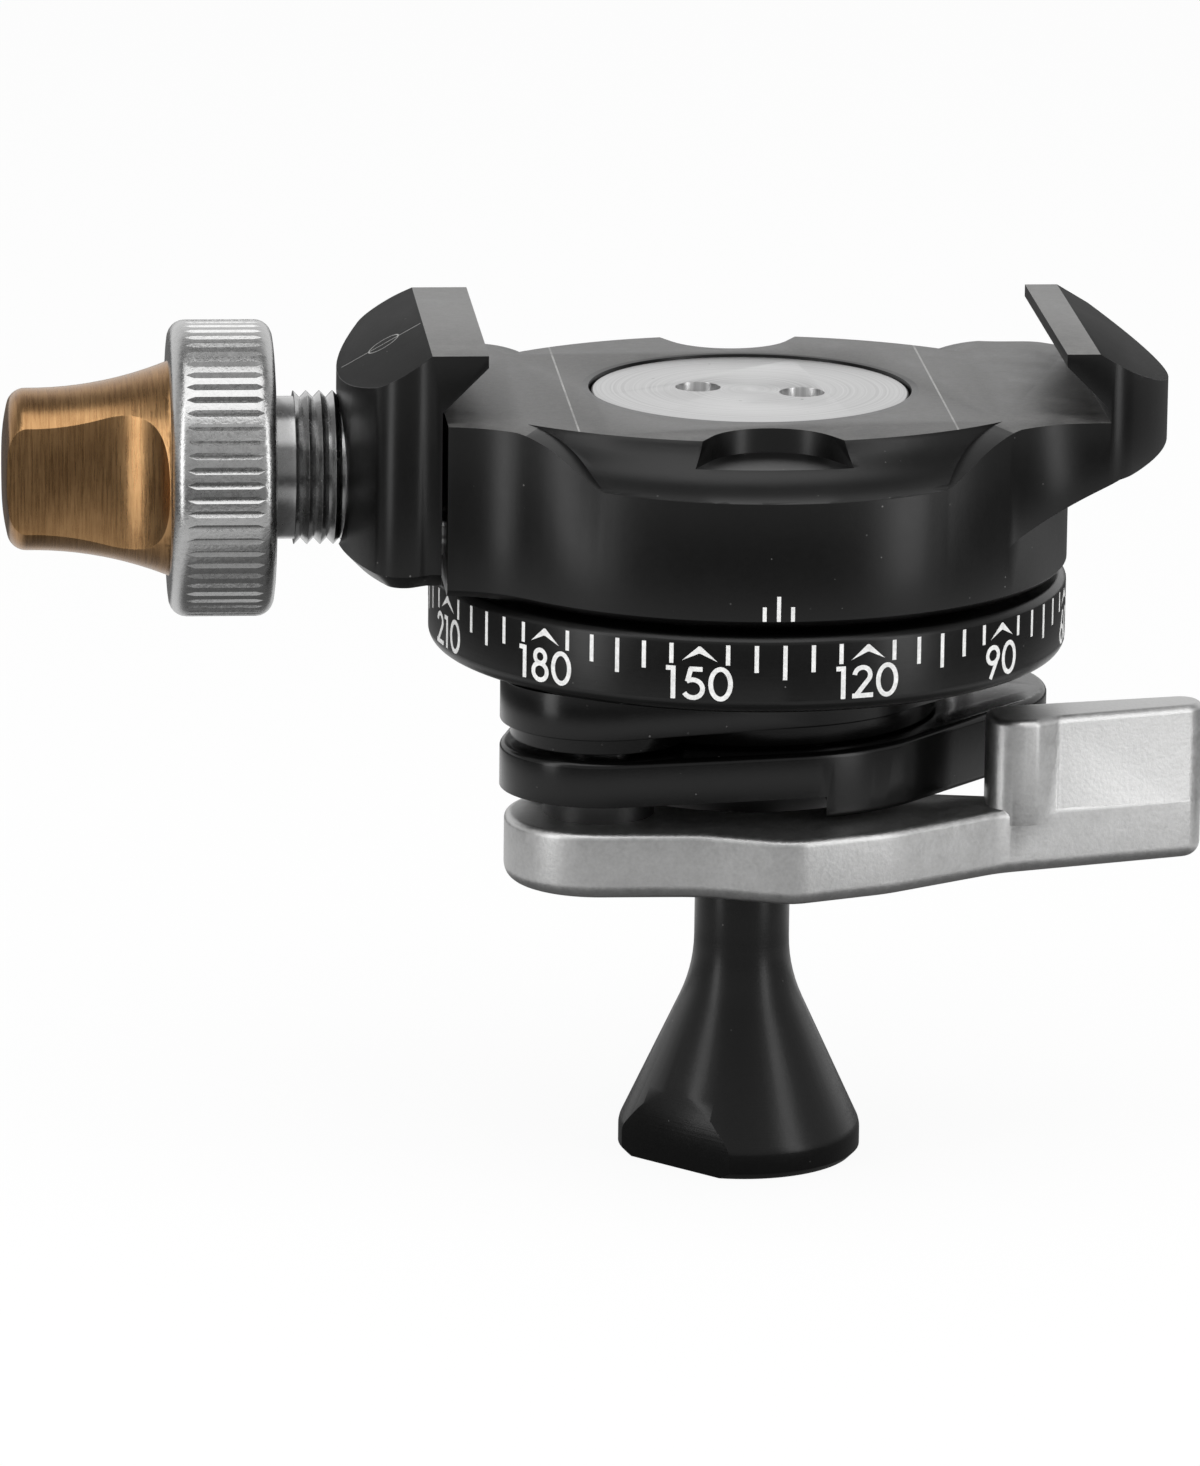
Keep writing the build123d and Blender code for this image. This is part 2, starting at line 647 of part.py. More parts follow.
strip_end = fixed_jaw_tip + jaw_strip_width
slope_end = fixed_jaw_end + body_gap
with BuildPart() as fixed_jaw:
    with BuildSketch(side_plane.offset(bar_front)):
        with BuildLine():
            Polyline(
                (fixed_jaw_root, body_top - dovetail_relief),
                (fixed_jaw_root, body_top + dovetail_relief),
                (fixed_jaw_tip, jaw_top - jaw_land),
                (fixed_jaw_tip, jaw_top),
                (strip_end, jaw_top),
                (slope_end, jaw_top - jaw_slope * (slope_end - strip_end)),
                (slope_end, body_top - dovetail_relief),
                close=True,
            )
        make_face()
    extrude(amount=-(bar_front + jaw_half_width))
    with BuildSketch(Plane.XY.offset(body_top - dovetail_relief)) as jaw_end_plan:
        with BuildLine():
            Polyline(
                (front_corner, -bar_front),
                (0, -bar_front),
                (0, bar_back),
                (back_corner, bar_back),
            )
            ThreePointArc((back_corner, bar_back), (fixed_jaw_end, 0), (front_corner, -bar_front))
        make_face()
        fillet(corner(jaw_end_plan, front_corner, -bar_front), radius=end_blend)
    extrude(amount=jaw_top - body_top + dovetail_relief, mode=Mode.INTERSECT)

# the arm under the fixed jaw rises outwards from the round body
knee_x = fixed_jaw_root + arm_knee
knee_height = body_top - arm_tip_thickness - arm_tip_slope * (fixed_jaw_end - knee_x)
arm_foot_x = knee_x - (knee_height - body_bottom) / arm_slope
with BuildPart() as arm_underside:
    with BuildSketch(side_plane.offset(dial_radius)):
        with BuildLine():
            Polyline(
                (arm_foot_x, body_bottom),
                (knee_x, knee_height),
                (slope_end, knee_height + arm_tip_slope * (slope_end - knee_x)),
                (slope_end, body_bottom),
                close=True,
            )
        make_face()
    extrude(amount=-2 * dial_radius)
    with BuildSketch(Plane.XY.offset(body_bottom)):
        Circle(dial_radius)
    extrude(amount=body_height, mode=Mode.SUBTRACT)

# the cove along the front; it climbs out of the body towards both ends
cove_ring_radius = cove_edge_radius + sqrt(cove_radius**2 - cove_rise**2)
ramp_floor = body_top - ramp_drop
cove_reach = 2 * cove_ring_radius
ramp_head = ramp_foot + (ramp_drop + ramp_lip) / ramp_slope
turn_x = cos(radians(ramp_turn))
turn_y = sin(radians(ramp_turn))
with BuildPart() as cove:
    with BuildSketch(Plane(origin=(0, cove_shift, 0), x_dir=(1, 0, 0), z_dir=(0, -1, 0))):
        with Locations((cove_ring_radius, body_top + cove_rise)):
            Circle(cove_radius)
    revolve(axis=Axis((0, cove_shift, 0), (0, 0, -1)), revolution_arc=180)
    for side in (-1, 1):
        outwards = (side * turn_x, turn_y, 0)
        ramp_plane = Plane(origin=(0, 0, 0), x_dir=outwards, z_dir=(turn_y, -side * turn_x, 0))
        with BuildSketch(ramp_plane.offset(-cove_reach)) as ramp_profile:
            with BuildLine():
                Polyline(
                    (-cove_reach, ramp_floor),
                    (ramp_foot, ramp_floor),
                    (ramp_head, body_top + ramp_lip),
                    (cove_reach, body_top + ramp_lip),
                    (cove_reach, body_bottom),
                    (-cove_reach, body_bottom),
                    close=True,
                )
            make_face()
            fillet(corner(ramp_profile, ramp_foot, ramp_floor), radius=ramp_foot_blend)
            fillet(corner(ramp_profile, ramp_head, body_top + ramp_lip), radius=ramp_head_blend)
        extrude(amount=2 * cove_reach, mode=Mode.SUBTRACT)

with BuildPart() as clamp_body:
    add(round_body.part)
    add(arm_underside.part, mode=Mode.SUBTRACT)
    chamfer(clamp_body.faces().sort_by(Axis.Z)[0].edges(), length=body_edge)
    add(cove.part, mode=Mode.SUBTRACT)
    mirror(cove.part, about=Plane.XZ, mode=Mode.SUBTRACT)
    add(fixed_jaw.part)
    with BuildSketch(Plane.XY.offset(body_bottom)):
        with Locations((body_face, 0)):
            Rectangle(dial_radius, 2 * dial_radius, align=(Align.MAX, Align.CENTER))
    extrude(amount=body_height, mode=Mode.SUBTRACT)
    # bores on the pan axis
    with BuildSketch(Plane.XY.offset(ledge_top)):
        Circle(pan_cap_radius + pan_cap_play)
    extrude(amount=body_top - ledge_top, mode=Mode.SUBTRACT)
    with BuildSketch(Plane.XY.offset(body_bottom)):
        Circle(spindle_radius + running)
    extrude(amount=ledge_top - body_bottom, mode=Mode.SUBTRACT)
    with BuildSketch(Plane.XY.offset(body_bottom)):
        Circle(lower_journal_radius + body_gap)
    extrude(amount=ledge_bottom - body_bottom, mode=Mode.SUBTRACT)
    with BuildSketch(Plane.XY.offset(body_bottom)):
        Circle(pan_bearing_radius + body_gap)
    extrude(amount=dial_top + pan_bearing_height + running - body_bottom, mode=Mode.SUBTRACT)
    # plate-stop pockets, front and back, with flared mouths
    flare_x = pocket_radius * cos(radians(pocket_flare))
    flare_y = pocket_offset - pocket_radius * sin(radians(pocket_flare))
    mouth_x = flare_x + (dial_radius - flare_y) * tan(radians(pocket_flare))
    with BuildSketch(Plane.XY.offset(body_top)):
        for side in (-1, 1):
            with Locations((0, side * pocket_offset)):
                Circle(pocket_radius)
            with BuildLine():
                Polyline(
                    (-flare_x, side * flare_y),
                    (flare_x, side * flare_y),
                    (mouth_x, side * dial_radius),
                    (-mouth_x, side * dial_radius),
                    close=True,
                )
            make_face()
    extrude(amount=-pocket_depth, mode=Mode.SUBTRACT)
    # bores for the knob's shaft and the jaw's guide pins
    side_face = Plane(origin=(body_face, 0, screw_height), z_dir=(1, 0, 0))
    with BuildSketch(side_face):
        Circle(shaft_radius + running)
    extrude(amount=shaft_end + shaft_bore_end - body_face, mode=Mode.SUBTRACT)
    guide_face = Plane(origin=(body_face, 0, guide_pin_height), z_dir=(1, 0, 0))
    with BuildSketch(guide_face):
        with Locations((0, -guide_pin_offset), (0, guide_pin_offset)):
            Circle(guide_pin_radius + seated)
    extrude(amount=guide_pin_root, mode=Mode.SUBTRACT)
    with BuildSketch(Plane.XY.offset(body_bottom)):
        with Locations((groove_x, 0)):
            with GridLocations(0, 2 * (groove_radius + retaining_pin_radius + running), 1, 2):
                Circle(retaining_pin_radius + seated)
    extrude(amount=retaining_pin_length + 2 * body_gap, mode=Mode.SUBTRACT)
finish(clamp_body, "clamp_body")

# --- Pins that trap the knob's shaft, and guide pins of the movable jaw -----------------------------
with BuildPart() as screw_retaining_pins:
    with BuildSketch(Plane.XY.offset(body_bottom + body_gap)):
        with Locations((groove_x, 0)):
            with GridLocations(0, 2 * (groove_radius + retaining_pin_radius + running), 1, 2):
                Circle(retaining_pin_radius)
    extrude(amount=retaining_pin_length)
finish(screw_retaining_pins, "screw_retaining_pins")

guide_pin_end = jaw_face - guide_pin_reach
with BuildPart() as jaw_guide_pins:
    with BuildSketch(Plane(origin=(guide_pin_end, 0, guide_pin_height), z_dir=(1, 0, 0))):
        with Locations((0, -guide_pin_offset), (0, guide_pin_offset)):
            Circle(guide_pin_radius)
    extrude(amount=guide_pin_reach + body_gap + guide_pin_root - seated)
finish(jaw_guide_pins, "jaw_guide_pins")

# --- Movable jaw ------------------------------------------------------------------------------------
movable_strip_end = movable_jaw_tip - movable_strip_width
movable_slope_end = movable_jaw_end - body_gap
movable_fall = jaw_slope * (movable_strip_end - movable_slope_end)
movable_end_centre = movable_jaw_end + movable_end_radius
movable_end_half = jaw_half_width + jaw_flare
movable_corner = movable_end_centre - sqrt(movable_end_radius**2 - movable_end_half**2)
with BuildPart() as movable_jaw:
    with BuildSketch(side_plane):
        with BuildLine():
            Polyline(
                (jaw_face, jaw_bottom),
                (jaw_face, body_top + dovetail_relief),
                (movable_jaw_tip, jaw_top - jaw_land),
                (movable_jaw_tip, jaw_top),
                (movable_strip_end, jaw_top),
                (movable_slope_end, jaw_top - movable_fall),
                (movable_slope_end, jaw_bottom),
                close=True,
            )
        make_face()
    extrude(amount=movable_end_half, both=True)
    with BuildSketch(Plane.XY.offset(body_bottom)) as jaw_plan:
        with BuildLine():
            Polyline(
                (movable_corner, -movable_end_half),
                (movable_strip_end, -jaw_half_width),
                (movable_jaw_tip, -jaw_half_width),
                (movable_jaw_tip, jaw_half_width),
                (movable_strip_end, jaw_half_width),
                (movable_corner, movable_end_half),
            )
            ThreePointArc(
                (movable_corner, movable_end_half),
                (movable_jaw_end, 0),
                (movable_corner, -movable_end_half),
            )
        make_face()
        fillet(corner(jaw_plan, movable_corner, -movable_end_half), radius=end_blend)
        fillet(corner(jaw_plan, movable_corner, movable_end_half), radius=end_blend)
    extrude(amount=jaw_top - body_bottom, mode=Mode.INTERSECT)
    chamfer(movable_jaw.faces().sort_by(Axis.Z)[0].edges().sort_by(Axis.X)[:-1], length=jaw_foot_bevel)
    with BuildSketch(Plane(origin=(jaw_face, 0, screw_height), z_dir=(1, 0, 0))):
        Circle(thread_radius + running)
    extrude(amount=-movable_jaw_length, mode=Mode.SUBTRACT)
    with BuildSketch(Plane(origin=(jaw_face, 0, guide_pin_height), z_dir=(1, 0, 0))):
        with Locations((0, -guide_pin_offset), (0, guide_pin_offset)):
            Circle(guide_pin_radius + running)
    extrude(amount=-(guide_pin_reach + body_gap), mode=Mode.SUBTRACT)
finish(movable_jaw, "movable_jaw")

# --- Clamp screw: stud, neck, thread and trapped shaft ----------------------------------------------
thread_turns = int((thread_inner_end - thread_outer_end) / thread_pitch)
thread_points = []
for turn in range(thread_turns):
    crest_x = thread_outer_end + turn * thread_pitch
    thread_points.append((crest_x, thread_radius))
    thread_points.append((crest_x + thread_pitch / 2, thread_radius - thread_depth))
thread_points.append((thread_outer_end + thread_turns * thread_pitch, thread_radius))
thread_end = thread_points[-1][0]
with BuildPart() as clamp_screw:
    with BuildSketch(screw_plane):
        with BuildLine():
            Polyline(
                (wheel_inner_face - stud_length, 0),
                (wheel_inner_face - stud_length, stud_radius),
                (wheel_inner_face, stud_radius),
                (wheel_inner_face, screw_neck_radius),
                (thread_outer_end, screw_neck_radius),
                *thread_points,
                (thread_end, shaft_radius),
                (groove_x - groove_width / 2, shaft_radius),
                (groove_x - groove_width / 2, groove_radius),
                (groove_x + groove_width / 2, groove_radius),
                (groove_x + groove_width / 2, shaft_radius),
                (shaft_end, shaft_radius),
                (shaft_end, 0),
                close=True,
            )
        make_face()
    revolve(axis=screw_axis)
finish(clamp_screw, "clamp_screw")

# --- Knob: wheel and grip, keyed together by two pins -----------------------------------------------
with BuildPart() as knob_wheel:
    with BuildSketch(Plane(origin=(wheel_outer_face, 0, screw_height), z_dir=(1, 0, 0))):
        Circle(wheel_radius)
    extrude(amount=wheel_width)
    fillet(knob_wheel.edges().filter_by(GeomType.CIRCLE), radius=wheel_blend)
    with BuildSketch(Plane(origin=(wheel_outer_face, 0, screw_height), z_dir=(1, 0, 0))):
        Circle(stud_radius + seated)
    extrude(amount=wheel_width, mode=Mode.SUBTRACT)
    with BuildSketch(Plane(origin=(wheel_outer_face, 0, screw_height), z_dir=(1, 0, 0))):
        with GridLocations(2 * drive_pin_offset, 0, 2, 1):
            Circle(drive_pin_radius + seated)
    extrude(amount=drive_pin_length / 2, mode=Mode.SUBTRACT)
finish(knob_wheel, "knob_wheel")

with BuildPart() as knob_drive_pins:
    with BuildSketch(Plane(origin=(wheel_outer_face, 0, screw_height), z_dir=(1, 0, 0))):
        with GridLocations(2 * drive_pin_offset, 0, 2, 1):
            Circle(drive_pin_radius)
    extrude(amount=drive_pin_length / 2 - seated, both=True)
finish(knob_drive_pins, "knob_drive_pins")

grip_end = wheel_outer_face - grip_length
grip_waist = wheel_outer_face - grip_waist_position
scoop_start = wheel_outer_face - grip_scoop_position
with BuildPart() as knob_grip:
    with BuildSketch(screw_plane) as grip_profile:
        with BuildLine():
            Line((wheel_outer_face, 0), (wheel_outer_face, grip_base_radius))
            Spline(
                (wheel_outer_face, grip_base_radius),
                (grip_waist, grip_waist_radius),
                (grip_end + grip_dome, grip_end_radius),
            )
            SagittaArc((grip_end + grip_dome, grip_end_radius), (grip_end, 0), -grip_dome / 2)
            Line((grip_end, 0), (wheel_outer_face, 0))
        make_face()
        fillet(corner(grip_profile, grip_end + grip_dome, grip_end_radius), radius=grip_end_blend)
    revolve(axis=screw_axis)
    with BuildSketch(Plane.XY.offset(screw_height - grip_base_radius)):
        for side in (-1, 1):
            with BuildLine():
                Polyline(
                    (scoop_start, side * grip_flats_across / 2),
                    (grip_end - 1, side * grip_flats_across / 2),
                    (grip_end - 1, side * 2 * grip_base_radius),
                    (scoop_start + grip_scoop_radius, side * 2 * grip_base_radius),
                    (scoop_start + grip_scoop_radius, side * (grip_flats_across / 2 + grip_scoop_radius)),
                )
                RadiusArc(
                    (scoop_start + grip_scoop_radius, side * (grip_flats_across / 2 + grip_scoop_radius)),
                    (scoop_start, side * grip_flats_across / 2),
                    side * grip_scoop_radius,
                )
            make_face()
    extrude(amount=2 * grip_base_radius, mode=Mode.SUBTRACT)
    with BuildSketch(Plane(origin=(wheel_outer_face, 0, screw_height), z_dir=(1, 0, 0))):
        Circle(stud_radius + seated)
    extrude(amount=-(stud_length - wheel_width + body_gap), mode=Mode.SUBTRACT)
    with BuildSketch(Plane(origin=(wheel_outer_face, 0, screw_height), z_dir=(1, 0, 0))):
        with GridLocations(2 * drive_pin_offset, 0, 2, 1):
            Circle(drive_pin_radius + seated)
    extrude(amount=-drive_pin_length / 2, mode=Mode.SUBTRACT)
finish(knob_grip, "knob_grip")
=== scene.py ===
# %% [markdown]
# # An inverted ball head, from CAD frame to finished picture
#
# This lesson dresses a small tripod ball head. The CAD parts come in as a fixed frame: they have the right
# sizes and they move on joints. Blender adds what makes them look real: soft edges, anodised and blasted
# metal, a fluted knob, and the marks on the dial.

# %% Load the frame
import json
from math import cos, pi, radians, sin

import bpy
from mathutils import Matrix, Vector


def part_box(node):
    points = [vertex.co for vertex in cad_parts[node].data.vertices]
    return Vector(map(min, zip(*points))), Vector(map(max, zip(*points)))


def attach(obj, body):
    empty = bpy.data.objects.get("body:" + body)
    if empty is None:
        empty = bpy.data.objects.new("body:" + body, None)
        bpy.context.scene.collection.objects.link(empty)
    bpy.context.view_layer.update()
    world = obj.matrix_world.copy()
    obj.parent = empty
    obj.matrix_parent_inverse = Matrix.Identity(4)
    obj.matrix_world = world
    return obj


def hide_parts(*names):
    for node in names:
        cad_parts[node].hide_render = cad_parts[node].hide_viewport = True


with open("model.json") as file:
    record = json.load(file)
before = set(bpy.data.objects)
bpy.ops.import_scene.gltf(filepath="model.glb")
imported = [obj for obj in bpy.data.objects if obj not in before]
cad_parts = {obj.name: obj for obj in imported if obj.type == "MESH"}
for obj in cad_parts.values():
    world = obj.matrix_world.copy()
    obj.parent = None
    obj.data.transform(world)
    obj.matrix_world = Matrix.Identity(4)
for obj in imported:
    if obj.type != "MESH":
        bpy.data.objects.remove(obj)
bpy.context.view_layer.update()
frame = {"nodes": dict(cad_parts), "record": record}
MM = 0.001
print("nodes in the frame:", len(frame["nodes"]))

# %% [markdown]
# ## Working by hand, in code
#
# An operator acts on everything that is selected, so each step starts with nothing selected. A finished
# piece keeps its object at the origin, with its place in its mesh, because the CAD parts do the same.

# %% Small helpers
def pick(piece):
    """Makes one piece the only selected and active object."""
    bpy.ops.object.select_all(action="DESELECT")
    piece.select_set(True)
    bpy.context.view_layer.objects.active = piece


def settle(piece):
    """Moves a piece's place, turn and scale into its mesh."""
    pick(piece)
    bpy.ops.object.transform_apply(location=True, rotation=True, scale=True)


def apply_modifiers(piece):
    """Applies every modifier of a piece, in order."""
    pick(piece)
    for modifier in list(piece.modifiers):
        bpy.ops.object.modifier_apply(modifier=modifier.name)


def triangles(piece):
    """How many triangles a piece has."""
    return sum(len(face.vertices) - 2 for face in piece.data.polygons)


# %% [markdown]
# ## Dressing a CAD part
#
# Machined parts never have razor edges: a deburring pass leaves a tiny bevel, and that bevel is what
# catches the light. A CAD part arrives as loose triangles with sharp edges. A copy is merged, its flat
# areas are dissolved into whole faces, and a narrow bevel is cut along every sharp edge. Doing this on
# a copy keeps the CAD shape exact, and it is much quicker than modelling each part again.

# %% A bevelled copy of a CAD part
def dress(node, body, edge=0.15, segments=2, sharp=35):
    """Copies a CAD part, merges it, bevels its sharp edges and lets the copy stand for it."""
    piece = bpy.data.objects.new(node + "_dressed", frame["nodes"][node].data.copy())
    bpy.context.scene.collection.objects.link(piece)
    pick(piece)
    bpy.ops.object.mode_set(mode="EDIT")
    bpy.ops.mesh.select_all(action="SELECT")
    bpy.ops.mesh.remove_doubles(threshold=0.002 * MM)
    bpy.ops.mesh.dissolve_limited(angle_limit=radians(0.6))
    bpy.ops.object.mode_set(mode="OBJECT")
    if piece.data.has_custom_normals:
        bpy.ops.mesh.customdata_custom_splitnormals_clear()
    bevel = piece.modifiers.new("edge", "BEVEL")
    bevel.width = edge * MM
    bevel.segments = segments
    bevel.limit_method = "ANGLE"
    bevel.angle_limit = radians(sharp)
    bevel.harden_normals = False
    apply_modifiers(piece)
    bpy.ops.object.shade_smooth_by_angle(angle=radians(sharp))
    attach(piece, body)
    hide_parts(node)
    print(piece.name, triangles(piece), "triangles")
    return piece


# %% [markdown]
# ## Shader groups: effects that several finishes share
#
# A finish is more than a colour. Each group below makes one effect from procedural noise in the piece's
# own Object coordinates, so it sticks to the surface from every side. The groups put out values and
# colours, and every material places them with its own numbers.

# %% Building node trees
def link(tree, out, into):
    """Joins two sockets."""
    tree.links.new(out, into)


def new_group(name, inputs, outputs):
    """An empty shader group with named inputs and outputs."""
    group = bpy.data.node_groups.new(name, "ShaderNodeTree")
    for label, kind, value in inputs:
        socket = group.interface.new_socket(label, in_out="INPUT", socket_type=kind)
        if value is not None:
            socket.default_value = value
    for label, kind in outputs:
        group.interface.new_socket(label, in_out="OUTPUT", socket_type=kind)
    start = group.nodes.new("NodeGroupInput")
    end = group.nodes.new("NodeGroupOutput")
    return group, start, end


def node(tree, kind, **settings):
    """Adds a node and sets its properties."""
    item = tree.nodes.new(kind)
    for key, value in settings.items():
        setattr(item, key, value)
    return item


def calc(tree, operation, first, second=None, third=None):
    """A Math node; each input is a socket or a number. Gives the result's socket."""
    item = node(tree, "ShaderNodeMath", operation=operation)
    for index, value in enumerate((first, second, third)):
        if value is None:
            continue
        if isinstance(value, (int, float)):
            item.inputs[index].default_value = value
        else:
            link(tree, value, item.inputs[index])
    return item.outputs[0]


FLOAT = "NodeSocketFloat"
VECTOR = "NodeSocketVector"

# %% Grain: the fine pits that bead blasting and anodising leave
grain, start, end = new_group(
    "blasted_grain",
    [("Position", VECTOR, None), ("Grain Size mm", FLOAT, 0.15)],
    [("Height", FLOAT), ("Value", FLOAT)],
)
frequency = calc(grain, "DIVIDE", 1000.0, start.outputs["Grain Size mm"])
fine = node(grain, "ShaderNodeTexNoise")
fine.inputs["Detail"].default_value = 2.0
link(grain, start.outputs["Position"], fine.inputs["Vector"])
link(grain, frequency, fine.inputs["Scale"])
coarse = node(grain, "ShaderNodeTexNoise")
coarse.inputs["Detail"].default_value = 2.0
link(grain, start.outputs["Position"], coarse.inputs["Vector"])
link(grain, calc(grain, "MULTIPLY", frequency, 0.31), coarse.inputs["Scale"])
mixed = calc(grain, "MULTIPLY_ADD", coarse.outputs[0], 0.45, calc(grain, "MULTIPLY", fine.outputs[0], 0.55))
link(grain, mixed, end.inputs["Height"])
link(grain, calc(grain, "MULTIPLY_ADD", mixed, 2.0, -0.5), end.inputs["Value"])
print("group", grain.name)

# %% Clouds: uneven anodising and handling smudges
clouds, start, end = new_group(
    "cloudy_wear",
    [("Position", VECTOR, None), ("Cloud Size mm", FLOAT, 3.0), ("Contrast", FLOAT, 1.0)],
    [("Value", FLOAT)],
)
big = node(clouds, "ShaderNodeTexNoise")
big.inputs["Detail"].default_value = 6.0
big.inputs["Roughness"].default_value = 0.62
big.inputs["Distortion"].default_value = 0.4
link(clouds, start.outputs["Position"], big.inputs["Vector"])
link(clouds, calc(clouds, "DIVIDE", 1000.0, start.outputs["Cloud Size mm"]), big.inputs["Scale"])
centred = calc(clouds, "SUBTRACT", big.outputs[0], 0.5)
swing = calc(clouds, "MULTIPLY", centred, start.outputs["Contrast"])
link(clouds, calc(clouds, "ADD", swing, 0.5), end.inputs["Value"])
print("group", clouds.name)

# %% Turning lines: rings that a lathe tool leaves round the Z axis
turning, start, end = new_group(
    "turning_lines",
    [("Position", VECTOR, None), ("Face", FLOAT, 0.0), ("Line Size mm", FLOAT, 0.12)],
    [("Height", FLOAT), ("Value", FLOAT)],
)
split = node(turning, "ShaderNodeSeparateXYZ")
link(turning, start.outputs["Position"], split.inputs[0])
square_x = calc(turning, "MULTIPLY", split.outputs[0], split.outputs[0])
radius_2 = calc(turning, "MULTIPLY_ADD", split.outputs[1], split.outputs[1], square_x)
radius = calc(turning, "SQRT", radius_2)
along = node(turning, "ShaderNodeMix", data_type="FLOAT")
link(turning, start.outputs["Face"], along.inputs["Factor"])
link(turning, split.outputs[2], along.inputs[2])
link(turning, radius, along.inputs[3])
rings = node(turning, "ShaderNodeTexNoise", noise_dimensions="1D")
rings.inputs["Detail"].default_value = 4.0
rings.inputs["Roughness"].default_value = 0.7
link(turning, along.outputs[0], rings.inputs["W"])
link(turning, calc(turning, "DIVIDE", 1000.0, start.outputs["Line Size mm"]), rings.inputs["Scale"])
link(turning, rings.outputs[0], end.inputs["Height"])
link(turning, rings.outputs[0], end.inputs["Value"])
print("group", turning.name)

# %% Dust: small pale specks, sparse and uneven
dust, start, end = new_group(
    "dust_specks",
    [("Position", VECTOR, None), ("Speck Size mm", FLOAT, 0.5), ("Amount", FLOAT, 0.3)],
    [("Mask", FLOAT)],
)
cells = node(dust, "ShaderNodeTexVoronoi")
cells.inputs["Randomness"].default_value = 1.0
link(dust, start.outputs["Position"], cells.inputs["Vector"])
link(dust, calc(dust, "DIVIDE", 1000.0, start.outputs["Speck Size mm"]), cells.inputs["Scale"])
near = calc(dust, "LESS_THAN", cells.outputs["Distance"], 0.12)
shade = node(dust, "ShaderNodeSeparateColor")
link(dust, cells.outputs["Color"], shade.inputs[0])
chosen = calc(dust, "LESS_THAN", shade.outputs[0], start.outputs["Amount"])
strength = calc(dust, "MULTIPLY", near, chosen)
link(dust, calc(dust, "MULTIPLY", strength, shade.outputs[1]), end.inputs["Mask"])
print("group", dust.name)


# %% [markdown]
# ## Finishes
#
# The head has five finishes that matter: satin black anodising on the machined bodies, bead-blasted clear
# anodising on the lever and the wheel, brushed bronze on the grip, turned aluminium on the pan cap, and
# bright steel on the screw. White paint fills the dial's marks.

# %% A helper for a material's start
def new_material(name, colour, metallic, roughness, specular=0.5):
    """A Principled material with its Object coordinates at hand."""
    material = bpy.data.materials.new(name)
    material.use_nodes = True
    tree = material.node_tree
    shader = tree.nodes["Principled BSDF"]
    shader.inputs["Base Color"].default_value = (*colour, 1.0)
    shader.inputs["Metallic"].default_value = metallic
    shader.inputs["Roughness"].default_value = roughness
    shader.inputs["Specular IOR Level"].default_value = specular
    position = node(tree, "ShaderNodeTexCoord").outputs["Object"]
    return material, tree, shader, position


def place(tree, group, position, **values):
    """Places a shader group in a material and sets its inputs."""
    item = node(tree, "ShaderNodeGroup", node_tree=group)
    link(tree, position, item.inputs["Position"])
    for key, value in values.items():
        item.inputs[key.replace("_", " ")].default_value = value
    return item


def bump(tree, shader, height, distance_mm, strength=1.0):
    """Feeds a height into the shader's normal."""
    item = node(tree, "ShaderNodeBump")
    item.inputs["Strength"].default_value = strength
    item.inputs["Distance"].default_value = distance_mm * MM
    link(tree, height, item.inputs["Height"])
    link(tree, item.outputs[0], shader.inputs["Normal"])
    return item


def ramp(tree, value, stops):
    """A colour ramp over a value."""
    item = node(tree, "ShaderNodeValToRGB")
    link(tree, value, item.inputs[0])
    elements = item.color_ramp.elements
    for index, (place_at, colour) in enumerate(stops):
        element = elements[index] if index < 2 else elements.new(place_at)
        element.position = place_at
        element.color = (*colour, 1.0)
    return item.outputs["Color"]


BLACK = (0.0, 0.0, 0.0)
WARM_WHITE = (1.0, 0.99, 0.97)


def black_anodised(name, roughness, cloud=0.5, specks=0.06, lines=0.0):
    """Satin black anodised aluminium with faint clouds, fine grain and a little dust."""
    material, tree, shader, position = new_material(name, (0.002, 0.002, 0.002), 0.0, roughness, 0.35)
    fine = place(tree, grain, position, Grain_Size_mm=0.13)
    cloud_node = place(tree, clouds, position, Cloud_Size_mm=4.0, Contrast=cloud)
    speck_node = place(tree, dust, position, Speck_Size_mm=0.45, Amount=specks)
    lit = calc(tree, "MULTIPLY_ADD", cloud_node.outputs[0], 0.002, 0.0)
    lit = calc(tree, "MULTIPLY_ADD", fine.outputs["Value"], 0.001, lit)
    lit = calc(tree, "MULTIPLY_ADD", speck_node.outputs[0], 0.12, lit)
    colour = ramp(tree, lit, ((0.0, BLACK), (1.0, WARM_WHITE)))
    link(tree, colour, shader.inputs["Base Color"])
    rough = calc(tree, "MULTIPLY_ADD", cloud_node.outputs[0], 0.16, roughness - 0.08)
    rough = calc(tree, "MULTIPLY_ADD", fine.outputs["Value"], 0.05, rough)
    link(tree, rough, shader.inputs["Roughness"])
    height = fine.outputs["Height"]
    if lines:
        turned = place(tree, turning, position, Line_Size_mm=0.16)
        height = calc(tree, "MULTIPLY_ADD", turned.outputs[0], lines, height)
    bump(tree, shader, height, 0.004)
    return material


satin_black = black_anodised("satin_black_anodised", 0.30)
turned_black = black_anodised("turned_black_anodised", 0.27, cloud=0.3, specks=0.03, lines=1.2)
gloss_black = black_anodised("semi_gloss_black_anodised", 0.21, cloud=0.4)
print("black finishes ready")

